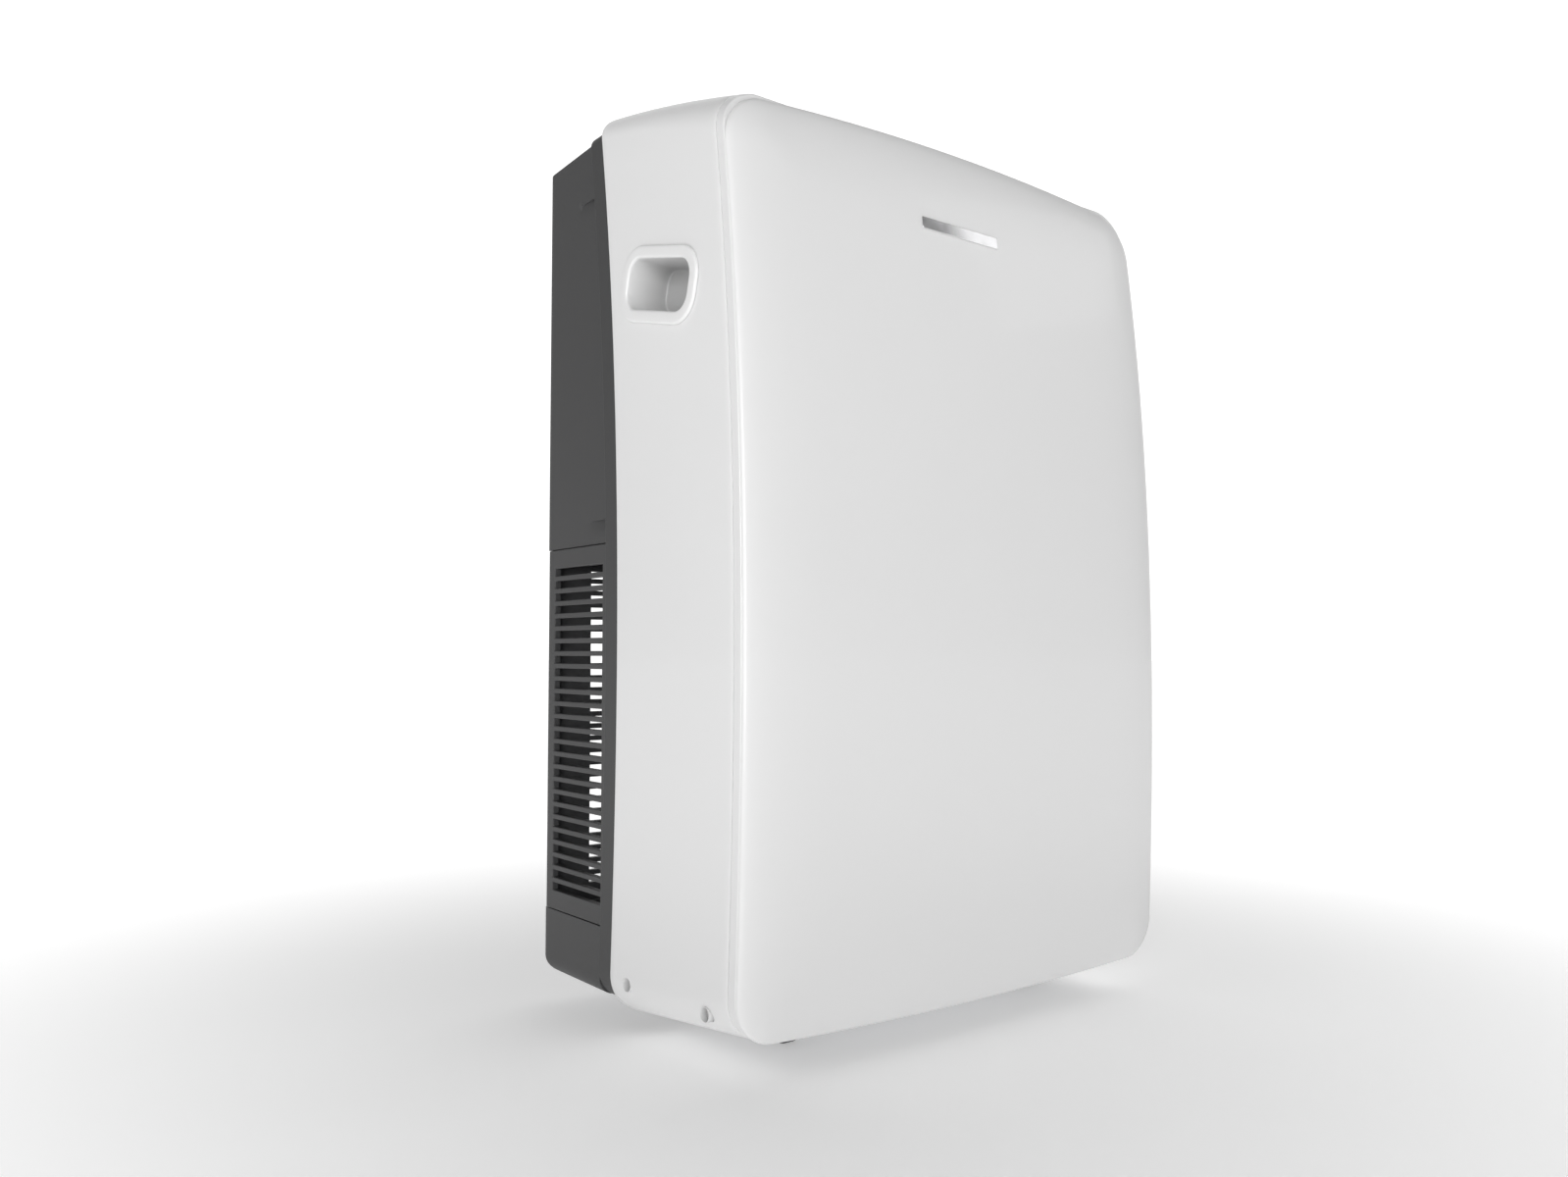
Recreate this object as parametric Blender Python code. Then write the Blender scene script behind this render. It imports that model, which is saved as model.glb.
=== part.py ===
"""Upright dehumidifier on casters: white bowed case, dark rear with a louvred intake, side bucket.

Frame: X to the right, Y to the rear, Z up, in metres. The origin is on the floor, under the
middle of the machine. "Back" below is a distance behind the front-most plane of the case.
"""
import bpy
import bmesh
import math

for old in list(bpy.data.objects):
    bpy.data.objects.remove(old)

# ---------------------------------------------------------------- driving dimensions
DEPTH = 0.265            # front-most plane to rear cover
HALF_WIDTH = 0.194       # white sides
FRAME_HALF = 0.1863      # dark frame behind the white sides
REAR_HALF_FRONT = 0.1848 # rear covers where they leave the frame
REAR_HALF = 0.1812       # rear covers at the rear face
WALL = 0.0025            # moulded plastic walls
GAP = 0.0003             # clearance between pieces that touch

BOW_HEIGHT = 0.250       # the case is furthest forward here and leans back above and below
BOW = 0.155              # lean of the front, per metre squared
BOW_TWIST = 0.120        # extra lean towards the top, per metre cubed

PANEL_EDGE = 0.0090      # back of the front panel's edge
GROOVE = 0.0170          # back of the groove between front frame and sides
BAND_DEPTH = 0.012       # the front frame reaches this far inwards
WHITE_BACK = 0.1456      # back of the white sides
FRAME_BACK = 0.1731      # back of the dark frame

PANEL_TOP = 0.584        # front panel, top edge at the sides
PANEL_BOTTOM = 0.0234    # front panel, bottom edge at the sides
PANEL_ARCH = 0.010       # rise of its top edge to the middle
PANEL_SAG = 0.005        # drop of its bottom edge to the middle
PANEL_R_TOP = 0.031
PANEL_R_BOTTOM = 0.027
PILLOW = 0.008           # how far the panel's face stands in front of its edge
PILLOW_WIDTH = 0.055     # width of the rounding along the edge
PILLOW_POWER = 2.2
CROWN = 0.001            # extra bulge of the panel in the middle

BADGE_X = (-0.0415, 0.0310)
BADGE_Z = (0.5282, 0.5362)

TOP_START = 0.0254       # the top slopes up to the rear from here
TOP_HEIGHT = 0.587
TOP_SLOPE = 0.280
TOP_BEND = 0.528
TOP_ARCH = 0.005         # rise of the white top to the middle, at the front
BOTTOM_HEIGHT = 0.0250   # the white bottom slopes down to the rear
BOTTOM_SLOPE = 0.080
SIDE_R_TOP_FRONT = 0.030
SIDE_R_TOP_REAR = 0.018
SIDE_R_BOTTOM = 0.028
SIDE_SEAM = 0.150        # half distance between the seams of the two sides, over the top
REAR_CORNER = 0.016      # rounding of the white sides' rear corner underneath, seen from the side
REAR_CORNER_TOP = (0.008, 0.014)   # the one on top is tighter: depth, height

SEAM_UPPER = 0.3229      # upper rear cover above, intake grille below
SEAM_LOWER = 0.0651      # intake grille above, base cover below
REAR_BOTTOM = 0.0185
REAR_BOTTOM_R = 0.012     # rounding under the rear base cover
REAR_TOP = 0.6074
REAR_EDGE = 0.004        # rounding of the upright rear edges
ROOF_FALL = 0.027        # slope of the upper cover's roof
FRAME_BOTTOM = 0.0160
FRAME_TOP = 0.6120

HANDLE_BACK = 0.0970     # centre of the handle pockets
HANDLE_HEIGHT = 0.4813
HANDLE_TILT = math.radians(13.3)
HANDLE_SIZE = (0.0876, 0.0495, 0.0200)   # rim length, height and corner radius
HANDLE_HOLE = 0.0059                     # the hole in the white side is this far inside the rim

LOUVRE_PITCH = 0.0090
LOUVRE_SLOT = 0.0055
LOUVRE_ROWS = 26
LOUVRE_WALL = 0.0050
SIDE_SLOT = (0.1800, 0.2515)             # side slots run between these distances back
REAR_SLOTS = 4
REAR_SLOT_START = -0.1490
REAR_SLOT_PITCH = 0.0757
REAR_SLOT_LENGTH = 0.0709

WHEEL_R = 0.012
CASTER_X = 0.112
CASTER_BACKS = (0.066, 0.222)
CASTER_TRAIL = 0.006

BLOWER_X = -0.010
BLOWER_HEIGHT = 0.447
SCREW_BACKS = (0.045, 0.131)
SCREW_HEIGHT = 0.0372
PORT_HEIGHT = 0.0480

BUTTON_NAMES = ("power", "mode", "down", "up")
BUTTON_XS = (-0.078, -0.048, 0.048, 0.078)
BUTTON_BACK = 0.043
BUTTON_HALF = (0.007, 0.006)

BUCKET_X = (-0.020, 0.172)
BUCKET_BACK = (0.0345, 0.1235)
BUCKET_Z = (0.0755, 0.2850)
BUCKET_WALL = 0.0022
BAIL_RADIUS = 0.038
BAIL_BAR = 0.006                         # thickness of the bail
FACE_BACK = (0.0325, 0.1255)
FACE_Z = (0.0745, 0.2915)
FACE_CLEAR = 0.0005                      # round the bucket's face in its doorway
FINGER_SLOT_BACK = (0.0490, 0.1090)
FINGER_SLOT_Z = (0.2620, 0.2800)

PAN_X = 0.176                            # half width of the base pan
PAN_BACK = (0.0340, 0.2550)
PAN_Z = (0.0345, 0.0400)
SKIRT_X = 0.147                          # half width of the pan's folded skirt
SKIRT_BACK = 0.0380
SKIRT_LOW = 0.0225
PARTITION_BACK = (0.1580, 0.1600)
SHELF_Z = (0.3456, 0.3480)
TRAY_BACK = (0.1620, 0.2340)
COIL_HALF = 0.165
COIL_Z = (0.3520, 0.5700)
FILTER_HALF = 0.160
FILTER_BACKS = (0.2440, 0.2380)
FILTER_BAR = 0.008

COMPRESSOR_X = -0.115
COMPRESSOR_BACK = 0.0960
HOUSING_BACK = (0.0920, 0.1500)
HOUSING_WALL = 0.0022
BLADES = 22
WHEEL_BACK = (0.0990, 0.1430)


# ---------------------------------------------------------------- shape rules of the case
def y_of(back):
    """World Y of a distance behind the front-most plane."""
    return back - DEPTH / 2


def bow(z):
    """How far the case leans back at height z."""
    t = z - BOW_HEIGHT
    return BOW * t * t + BOW_TWIST * t ** 3


def top_line(back):
    """Height of the white top at a distance back."""
    s = back - TOP_START
    return TOP_HEIGHT + TOP_SLOPE * s - TOP_BEND * s * s


def white_top(base):
    """Height of the white top where the leaning section that starts at base meets it."""
    return top_line(base + bow(0.60))


def white_bottom(base):
    return BOTTOM_HEIGHT - BOTTOM_SLOPE * (base + bow(0.02))


def side_r_top(base):
    """Rounding between the white sides and the top; it tightens to the rear."""
    share = (base - PANEL_EDGE) / (WHITE_BACK - PANEL_EDGE)
    return SIDE_R_TOP_FRONT + (SIDE_R_TOP_REAR - SIDE_R_TOP_FRONT) * share


def half_outline(half, top, bottom, r_top, r_bottom, inset, seam):
    """Left half of a case section, from the top seam over the side to the bottom seam."""
    points = [(-seam, top - inset)]
    for k in range(6):
        a = math.pi / 2 * k / 5
        r = r_top - inset
        points.append((-half + r_top - r * math.sin(a), top - r_top + r * math.cos(a)))
    high, low = top - r_top, bottom + r_bottom
    for k in range(1, 8):
        points.append((-half + inset, high + (low - high) * k / 8))
    for k in range(7):
        a = math.pi / 2 * k / 6
        r = r_bottom - inset
        points.append((-half + r_bottom - r * math.cos(a), low - r * math.sin(a)))
    points.append((-seam, bottom + inset))
    return points


def full_outline(half, top, bottom, r_top, r_bottom, inset):
    left = half_outline(half, top, bottom, r_top, r_bottom, inset, 0.0)
    right = [(-x, z) for x, z in reversed(left[1:-1])]
    return left + right


def rounded_rect(width, height, radius, steps=5):
    """Corner arcs joined by straight sides, counter-clockwise."""
    points = []
    corners = ((1, 1, 0), (-1, 1, 90), (-1, -1, 180), (1, -1, 270))
    for sx, sy, start in corners:
        for k in range(steps + 1):
            a = math.radians(start + 90 * k / steps)
            cx = sx * (width / 2 - radius)
            cy = sy * (height / 2 - radius)
            points.append((cx + radius * math.cos(a), cy + radius * math.sin(a)))
    return points


# ---------------------------------------------------------------- materials
def material(name, colour, roughness, metallic=0.0, alpha=1.0):
    mat = bpy.data.materials.new(name)
    mat.use_nodes = True
    shader = mat.node_tree.nodes["Principled BSDF"]
    shader.inputs["Base Color"].default_value = (*colour, 1.0)
    shader.inputs["Roughness"].default_value = roughness
    shader.inputs["Metallic"].default_value = metallic
    shader.inputs["Alpha"].default_value = alpha
    return mat


WHITE = material("white_plastic", (0.84, 0.84, 0.84), 0.35)
DARK = material("dark_grey_plastic", (0.075, 0.076, 0.078), 0.45)
BLACK = material("black_gloss", (0.015, 0.015, 0.017), 0.12)
CLEAR = material("clear_plastic", (0.75, 0.80, 0.82), 0.10, alpha=0.5)
CHROME = material("chrome", (0.80, 0.80, 0.81), 0.12, 1.0)
STEEL = material("zinc_steel", (0.55, 0.56, 0.58), 0.35, 1.0)
COPPER = material("copper", (0.72, 0.35, 0.20), 0.30, 1.0)
FIN = material("aluminium_fin", (0.70, 0.72, 0.74), 0.35, 1.0)
PAINTED = material("black_paint", (0.02, 0.02, 0.022), 0.40)
RUBBER = material("black_rubber", (0.02, 0.02, 0.02), 0.80)
BOARD = material("circuit_board", (0.02, 0.16, 0.07), 0.50)
GREY = material("grey_plastic", (0.35, 0.36, 0.37), 0.50)
FOAM = material("white_foam", (0.80, 0.80, 0.78), 0.80)
MESH = material("filter_mesh", (0.03, 0.03, 0.035), 0.70)


# ---------------------------------------------------------------- solid makers
def finish(name, bm, mat, smooth=True):
    """Turn a bmesh into a named object with outward faces."""
    bmesh.ops.remove_doubles(bm, verts=bm.verts, dist=0.00002)
    bmesh.ops.recalc_face_normals(bm, faces=bm.faces)
    mesh = bpy.data.meshes.new(name)
    bm.to_mesh(mesh)
    bm.free()
    mesh.materials.append(mat)
    if smooth:
        mesh.shade_smooth()
        mesh.set_sharp_from_angle(angle=math.radians(35))
    obj = bpy.data.objects.new(name, mesh)
    bpy.context.collection.objects.link(obj)
    return obj


def loft_into(bm, rings, wrap=False):
    """Bridge rings of points; the ends are capped unless the loft closes on itself."""
    rows = [[bm.verts.new(p) for p in ring] for ring in rings]
    count = len(rows[0])
    pairs = list(zip(rows, rows[1:]))
    if wrap:
        pairs.append((rows[-1], rows[0]))
    for low, high in pairs:
        for i in range(count):
            j = (i + 1) % count
            bm.faces.new((low[i], low[j], high[j], high[i]))
    if not wrap:
        bm.faces.new(rows[0])
        bm.faces.new(rows[-1])


def loft(name, mat, rings, wrap=False):
    bm = bmesh.new()
    loft_into(bm, rings, wrap)
    return finish(name, bm, mat)


def ring(centre, radius, axis, sides=20):
    """A circle of points round the x, y or z axis through centre."""
    points = []
    for k in range(sides):
        a = 2 * math.pi * k / sides - math.pi / 2
        c, s = radius * math.cos(a), radius * math.sin(a)
        offset = {"x": (0, c, s), "y": (c, 0, s), "z": (c, s, 0)}[axis]
        points.append(tuple(p + q for p, q in zip(centre, offset)))
    return points


def turned_into(bm, centre, profile, axis, sides=20, wrap=False):
    """A turned solid; profile holds (radius, distance along the axis)."""
    shift = {"x": (1, 0, 0), "y": (0, 1, 0), "z": (0, 0, 1)}[axis]
    rings = []
    for radius, along in profile:
        middle = tuple(p + along * q for p, q in zip(centre, shift))
        rings.append(ring(middle, radius, axis, sides))
    loft_into(bm, rings, wrap)


def turned(name, mat, centre, profile, axis, sides=20, wrap=False):
    bm = bmesh.new()
    turned_into(bm, centre, profile, axis, sides, wrap)
    return finish(name, bm, mat)


def box_into(bm, x, y, z):
    verts = [bm.verts.new((px, py, pz)) for px in x for py in y for pz in z]
    for face in ((0, 1, 3, 2), (4, 6, 7, 5), (0, 4, 5, 1), (2, 3, 7, 6), (0, 2, 6, 4), (1, 5, 7, 3)):
        bm.faces.new([verts[i] for i in face])


def box(name, mat, x, backs, z, edge=0.0):
    """A block between two x, two distances back and two heights, its edges rounded by edge."""
    bm = bmesh.new()
    box_into(bm, x, [y_of(b) for b in backs], z)
    if edge:
        bmesh.ops.bevel(bm, geom=bm.edges, offset=edge, segments=2, affect="EDGES", profile=0.5)
    return finish(name, bm, mat)


def plate(name, mat, columns, rows, place, wrap=False, is_open=None):
    """A two-sided sheet of cells. place(i, j, side) gives a corner; open cells are holes."""
    bm = bmesh.new()
    corners = {}

    def corner(i, j, side):
        key = (i % columns if wrap else i, j, side)
        if key not in corners:
            corners[key] = bm.verts.new(place(*key))
        return corners[key]

    cells_across = columns if wrap else columns - 1

    def solid(i, j):
        if wrap:
            i = i % cells_across
        if not (0 <= i < cells_across and 0 <= j < rows - 1):
            return False
        return not (is_open and is_open(i, j))

    for i in range(cells_across):
        for j in range(rows - 1):
            if not solid(i, j):
                continue
            square = ((i, j), (i + 1, j), (i + 1, j + 1), (i, j + 1))
            beside = ((i, j - 1), (i + 1, j), (i, j + 1), (i - 1, j))
            bm.faces.new([corner(a, b, 0) for a, b in square])
            bm.faces.new([corner(a, b, 1) for a, b in reversed(square)])
            for k in range(4):
                if not solid(*beside[k]):
                    p, q = square[k], square[(k + 1) % 4]
                    bm.faces.new((corner(*p, 0), corner(*p, 1), corner(*q, 1), corner(*q, 0)))
    return finish(name, bm, mat)


def dissolve_flat(obj):
    """Merge the flat faces of a plate that lie in one plane."""
    bm = bmesh.new()
    bm.from_mesh(obj.data)
    bmesh.ops.dissolve_limit(
        bm, angle_limit=math.radians(0.2), verts=bm.verts, edges=bm.edges, delimit={"NORMAL"})
    bm.to_mesh(obj.data)
    bm.free()


def pipe(name, mat, points, radius):
    """A round pipe through points given as (x, back, z)."""
    curve = bpy.data.curves.new(name, "CURVE")
    curve.dimensions = "3D"
    curve.bevel_depth = radius
    curve.bevel_resolution = 1
    curve.use_fill_caps = True
    spline = curve.splines.new("POLY")
    spline.points.add(len(points) - 1)
    for target, (x, back, z) in zip(spline.points, points):
        target.co = (x, y_of(back), z, 1.0)
    curve.materials.append(mat)
    obj = bpy.data.objects.new(name, curve)
    bpy.context.collection.objects.link(obj)
    return obj


def boolean(target, tool, operation="DIFFERENCE"):
    """Cut or join with a tool, which stays in the file as a hidden guide."""
    tool.hide_render = True
    tool.display_type = "WIRE"
    modifier = target.modifiers.new(tool.name, "BOOLEAN")
    modifier.operation = operation
    modifier.object = tool
    modifier.solver = "EXACT"


def move_origin(obj, point):
    """Put an object's origin on its joint axis without moving its mesh."""
    for vert in obj.data.vertices:
        vert.co.x -= point[0]
        vert.co.y -= point[1]
        vert.co.z -= point[2]
    obj.location = point


# ---------------------------------------------------------------- front
def panel_point(u, v, inset=0.0, sink=0.0):
    """A point of the front panel's pillow face; u and v run from -1 to 1."""
    half = HALF_WIDTH
    middle = (PANEL_TOP + PANEL_BOTTOM) / 2
    tall = (PANEL_TOP - PANEL_BOTTOM) / 2
    x, z = u * half, v * tall
    radius = PANEL_R_TOP if v > 0 else PANEL_R_BOTTOM
    # corner points are drawn in towards the rounded outline along the ray from its arc centre
    over_x, over_z = abs(x) - (half - radius), abs(z) - (tall - radius)
    if over_x > 0 and over_z > 0:
        reach = math.hypot(over_x, over_z)
        square = max(over_x, over_z)
        over_x, over_z = over_x * square / reach, over_z * square / reach
        x = math.copysign(half - radius + over_x, x)
        z = math.copysign(tall - radius + over_z, z)
        depth_in = radius - square
    else:
        depth_in = min(half - abs(x), tall - abs(z))
    across = 1 - (x / half) ** 2
    up = z / tall
    z_world = middle + z + across * (PANEL_ARCH * (up + 1) / 2 - PANEL_SAG * (1 - up) / 2)
    edge = min(1.0, max(0.0, 1 - depth_in / PILLOW_WIDTH))
    rise = PILLOW * (1 - edge ** PILLOW_POWER) ** (1 / PILLOW_POWER) + CROWN * across * (1 - edge)
    back = PANEL_EDGE + bow(z_world) - rise
    if sink:
        shrink = 1 - inset / half
        x = x * shrink
        z_world = middle + (z_world - middle) * (1 - inset / tall)
        back = min(back + sink, PANEL_EDGE + bow(z_world))
    return (x, y_of(back), z_world)


def spread(count, ends):
    """Values from -1 to 1 that crowd towards the ends."""
    values = []
    for k in range(count):
        t = 2 * k / (count - 1) - 1
        values.append((1 - ends) * t + ends * math.sin(t * math.pi / 2))
    return values


def front():
    us, vs = spread(15, 0.85), spread(21, 0.80)

    def place(i, j, side):
        if side == 0:
            return panel_point(us[i], vs[j])
        return panel_point(us[i], vs[j], WALL, WALL)

    plate("front_panel", WHITE, len(us), len(vs), place)

    def strip(i, j, side):
        base = (PANEL_EDGE + GAP, GROOVE - GAP)[j]
        outline = full_outline(
            HALF_WIDTH, white_top(base), white_bottom(base),
            side_r_top(base), SIDE_R_BOTTOM, BAND_DEPTH * side)
        x, z = outline[i]
        return (x, y_of(base + bow(z)), z)

    count = len(full_outline(1, 2, 0, 0.1, 0.1, 0))
    plate("front_frame", WHITE, count, 2, strip, wrap=True)
    badge()


def badge():
    """A blank bright bar, near the middle and high on the front panel."""
    tall = (PANEL_TOP - PANEL_BOTTOM) / 2
    middle = (PANEL_TOP + PANEL_BOTTOM) / 2
    start, end = BADGE_X
    xs = [start + (end - start) * k / 6 for k in range(7)]
    zs = BADGE_Z

    def place(i, j, side):
        v = (zs[j] - middle - PANEL_ARCH + 0.001) / tall
        x, y, z = panel_point(xs[i] / HALF_WIDTH, v)
        return (x, y - GAP - (0.0007 if side == 0 else 0.0), zs[j])

    plate("badge_bar", CHROME, len(xs), 2, place)


# ---------------------------------------------------------------- white sides and top
def rear_edge(z, top, bottom):
    """Rear edge of the white sides, drawn forward round their rear corners."""
    deep, tall = REAR_CORNER_TOP
    over = (z - (top - tall)) / tall
    if over <= 0:
        deep = REAR_CORNER
        over = (bottom + REAR_CORNER - z) / REAR_CORNER
    over = min(max(over, 0.0), 1.0)
    return WHITE_BACK - GAP - deep * (1 - math.sqrt(1 - over * over))


def side_panel(name, sign):
    sections = 5
    count = len(half_outline(1, 2, 0, 0.1, 0.1, 0, 0.5))
    front_base = GROOVE + GAP

    def place(i, j, side):
        share = j / (sections - 1)
        base = front_base + (WHITE_BACK - front_base) * share
        for _ in range(3):
            top, bottom = white_top(base), white_bottom(base)
            outline = (HALF_WIDTH, top, bottom, side_r_top(base), SIDE_R_BOTTOM)
            x, z = half_outline(*outline, WALL * side, SIDE_SEAM)[i]
            outer_z = half_outline(*outline, 0.0, SIDE_SEAM)[i][1]
            base = front_base + (rear_edge(outer_z, top, bottom) - front_base) * share
        return (sign * x, y_of(base + bow(z)), z)

    panel = plate(name, WHITE, count, sections, place)
    boolean(panel, handle_cutter(name + "_handle_hole", sign))
    boolean(panel, screw_cutter(name + "_screw_holes", sign))
    return panel


def handle_ring(inset, proud, sign):
    length, height, radius = HANDLE_SIZE
    points = []
    for a, b in rounded_rect(length - 2 * inset, height - 2 * inset, radius - inset, 6):
        back = HANDLE_BACK + a * math.cos(HANDLE_TILT) - b * math.sin(HANDLE_TILT)
        z = HANDLE_HEIGHT + a * math.sin(HANDLE_TILT) + b * math.cos(HANDLE_TILT)
        points.append((-sign * (HALF_WIDTH + proud), y_of(back), z))
    return points


def handle_cutter(name, sign):
    return loft(name, GREY, [handle_ring(HANDLE_HOLE, deep, sign) for deep in (0.01, -0.01)])


def screw_cutter(name, sign):
    bm = bmesh.new()
    for back in SCREW_BACKS:
        start = (-sign * HALF_WIDTH, y_of(back), SCREW_HEIGHT)
        turned_into(bm, start, [(0.0048, -0.010), (0.0048, 0.010)], "x", 16)
    return finish(name, bm, GREY)


def handle_cup(name, sign):
    """A moulded pocket: floor, wall, raised rim, flange and the outside of the pocket."""
    profile = (
        (0.0140, -0.0280), (0.0095, -0.0262), (0.0084, -0.0120), (0.0064, 0.0002), (0.0044, 0.0022),
        (0.0016, 0.0022), (0.0, 0.0009), (0.0, GAP), (0.0062, GAP), (0.0062, -0.0285), (0.0115, -0.0303))
    return loft(name, WHITE, [handle_ring(inset, proud, sign) for inset, proud in profile])


def top_arch(x, base):
    """Rise of the white top towards the middle, strongest at the front."""
    if abs(x) >= SIDE_SEAM:
        return 0.0
    fade = 1 - min(1.0, max(0.0, (base - GROOVE) / (WHITE_BACK - GROOVE)))
    return TOP_ARCH * fade * 0.5 * (1 + math.cos(math.pi * x / SIDE_SEAM))


def top_normal(base):
    slope = TOP_SLOPE - 2 * TOP_BEND * (base + bow(0.60) - TOP_START)
    size = math.hypot(1, slope)
    return (0.0, -slope / size, 1 / size)


def top_point(x, base, lift=0.0):
    """A point on the white top, lifted along the surface's normal."""
    z = white_top(base) + top_arch(x, base)
    normal = top_normal(base)
    return (x, y_of(base + bow(z)) + normal[1] * lift, z + normal[2] * lift)


def top_plate(name, mat, xs, bases, lifts, is_open=None):
    def place(i, j, side):
        return top_point(xs[i], bases[j], lifts[side])
    return plate(name, mat, len(xs), len(bases), place, is_open=is_open)


def steps(low, high, count):
    return [low + (high - low) * k / count for k in range(count + 1)]


def barred(low, high, count, border, bar):
    """Edges of equal openings between bars, with a border at both ends."""
    pitch = (high - low - 2 * border + bar) / count
    line = [low]
    for k in range(count):
        start = low + border + k * pitch
        line += [start, start + pitch - bar]
    return line + [high]


def top():
    # the fascia sits in the front opening of the top panel, the outlet grille in the rear one
    rear = WHITE_BACK - REAR_CORNER_TOP[0] - GAP
    fascia_x, fascia_b = 0.112, (0.0260, 0.0610)
    grille_x, grille_b = 0.126, (0.0700, 0.1180)
    seam = SIDE_SEAM - GAP
    xs = [-seam, -grille_x, -fascia_x] + steps(-0.075, 0.075, 4) + [fascia_x, grille_x, seam]
    bases = [GROOVE + GAP, *fascia_b, *grille_b, rear]
    holes = {1: (-fascia_x, fascia_x), 3: (-grille_x, grille_x)}

    def hole(i, j):
        if j not in holes:
            return False
        low, high = holes[j]
        return xs[i] >= low - 1e-6 and xs[i + 1] <= high + 1e-6

    top_plate("top_panel", WHITE, xs, bases, (0.0, -WALL), hole)

    edge = grille_x - GAP
    xs = barred(-edge, edge, 4, 0.0060, 0.0040)
    bases = barred(grille_b[0] + GAP, grille_b[1] - GAP, 5, 0.0050, 0.0035)

    def slot(i, j):
        return i % 2 == 1 and j % 2 == 1

    grille = top_plate("outlet_grille", DARK, xs, bases, (0.0, -0.0060), slot)
    dissolve_flat(grille)
    fascia(fascia_x - GAP, fascia_b[0] + GAP, fascia_b[1] - GAP)


def fascia(half, low, high):
    """Dark fascia with four push buttons and a display window; the board lies under it."""
    half_x, half_b = BUTTON_HALF
    clear = 0.0004
    xs = [-half]
    for x in BUTTON_XS[:2]:
        xs += [x - half_x - clear, x + half_x + clear]
    xs += [-0.022, 0.022]
    for x in BUTTON_XS[2:]:
        xs += [x - half_x - clear, x + half_x + clear]
    xs.append(half)
    bases = [low, BUTTON_BACK - half_b - clear, BUTTON_BACK + half_b + clear, high]

    def hole(i, j):
        return j == 1 and i % 2 == 1

    top_plate("control_fascia", BLACK, xs, bases, (0.0, -0.0035), hole)
    display = (BUTTON_BACK - half_b - clear + GAP, BUTTON_BACK + half_b + clear - GAP)
    top_plate("display_window", CLEAR, (-0.022 + GAP, 0.0, 0.022 - GAP), display, (-0.0002, -0.0030))
    top_plate("control_board", BOARD, steps(-0.104, 0.104, 4), (low, high), (-0.0130, -0.0146))
    for name, x in zip(BUTTON_NAMES, BUTTON_XS):
        around = (x - half_x, x + half_x)
        along = (BUTTON_BACK - half_b, BUTTON_BACK + half_b)
        button = top_plate("button_" + name, GREY, around, along, (0.0014, -0.0060))
        move_origin(button, top_point(x, BUTTON_BACK))


# ---------------------------------------------------------------- dark rear
def frame_ring():
    """The dark frame starts under the white sides and ends where the rear covers begin."""
    start, step = 0.1275, 0.0034
    bases = (start, WHITE_BACK, FRAME_BACK - GAP)
    tops = (white_top(start) - step, white_top(WHITE_BACK) - step, FRAME_TOP)
    bottoms = (white_bottom(start) + step, white_bottom(WHITE_BACK) + step, FRAME_BOTTOM)
    walls = (WALL, WALL, 0.0055)

    def place(i, j, side):
        x, z = full_outline(FRAME_HALF, tops[j], bottoms[j], 0.010, 0.022, walls[j] * side)[i]
        return (x, y_of(bases[j] + bow(z)), z)

    count = len(full_outline(1, 2, 0, 0.1, 0.1, 0))
    plate("rear_frame", DARK, count, 3, place, wrap=True)


def rear_plan(z, inset, front_shift=0.0):
    """Plan of the rear covers: from the left front edge round the rear to the right front edge."""
    front_back = FRAME_BACK + GAP + bow(z) + front_shift
    corner = REAR_EDGE
    left = [(-(REAR_HALF_FRONT - inset), front_back)]
    for k in range(4):
        a = math.pi / 2 * k / 3
        r = corner
        left.append((-(REAR_HALF - inset) + r - r * math.cos(a), DEPTH - inset - r + r * math.sin(a)))
    return left + [(-x, b) for x, b in reversed(left)]


def rear_block(name, mat, heights, inset=0.0, front_shift=0.0, fall=0.0, round_under=False):
    """A block with the rear covers' plan; its top falls to the rear, its underside is rounded."""
    rings = []
    for z in heights:
        drop = fall if z == heights[-1] else 0.0
        under = min(1.0, max(0.0, (REAR_BOTTOM + REAR_BOTTOM_R - z) / REAR_BOTTOM_R))
        tuck = REAR_BOTTOM_R * (1 - math.sqrt(1 - under * under)) if round_under else 0.0
        plan = rear_plan(z, inset + tuck, front_shift)
        rings.append([(x, y_of(b), z - drop * (b - FRAME_BACK)) for x, b in plan])
    return loft(name, mat, rings)


def rear_covers():
    heights = steps(SEAM_UPPER + GAP, REAR_TOP, 7)
    upper = rear_block("rear_upper_cover", DARK, heights, fall=ROOF_FALL)
    inner = steps(SEAM_UPPER - 0.01, REAR_TOP - WALL, 7)
    boolean(upper, rear_block("upper_hollow", GREY, inner, WALL, -0.03, fall=ROOF_FALL))

    curve = [REAR_BOTTOM + REAR_BOTTOM_R * k for k in (0.15, 0.4, 1.0)]
    lower = rear_block("rear_base_cover", DARK, curve + [SEAM_LOWER - GAP], round_under=True)
    under = [REAR_BOTTOM - 0.01] + curve + [SEAM_LOWER + 0.01]
    boolean(lower, rear_block("lower_hollow", GREY, under, WALL, -0.03, round_under=True))
    bm = bmesh.new()
    turned_into(bm, (0.120, y_of(DEPTH), PORT_HEIGHT), [(0.0098, -0.01), (0.0098, 0.01)], "y", 16)
    turned_into(bm, (-0.120, y_of(DEPTH), PORT_HEIGHT), [(0.0068, -0.01), (0.0068, 0.01)], "y", 16)
    boolean(lower, finish("port_holes", bm, GREY))


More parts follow.
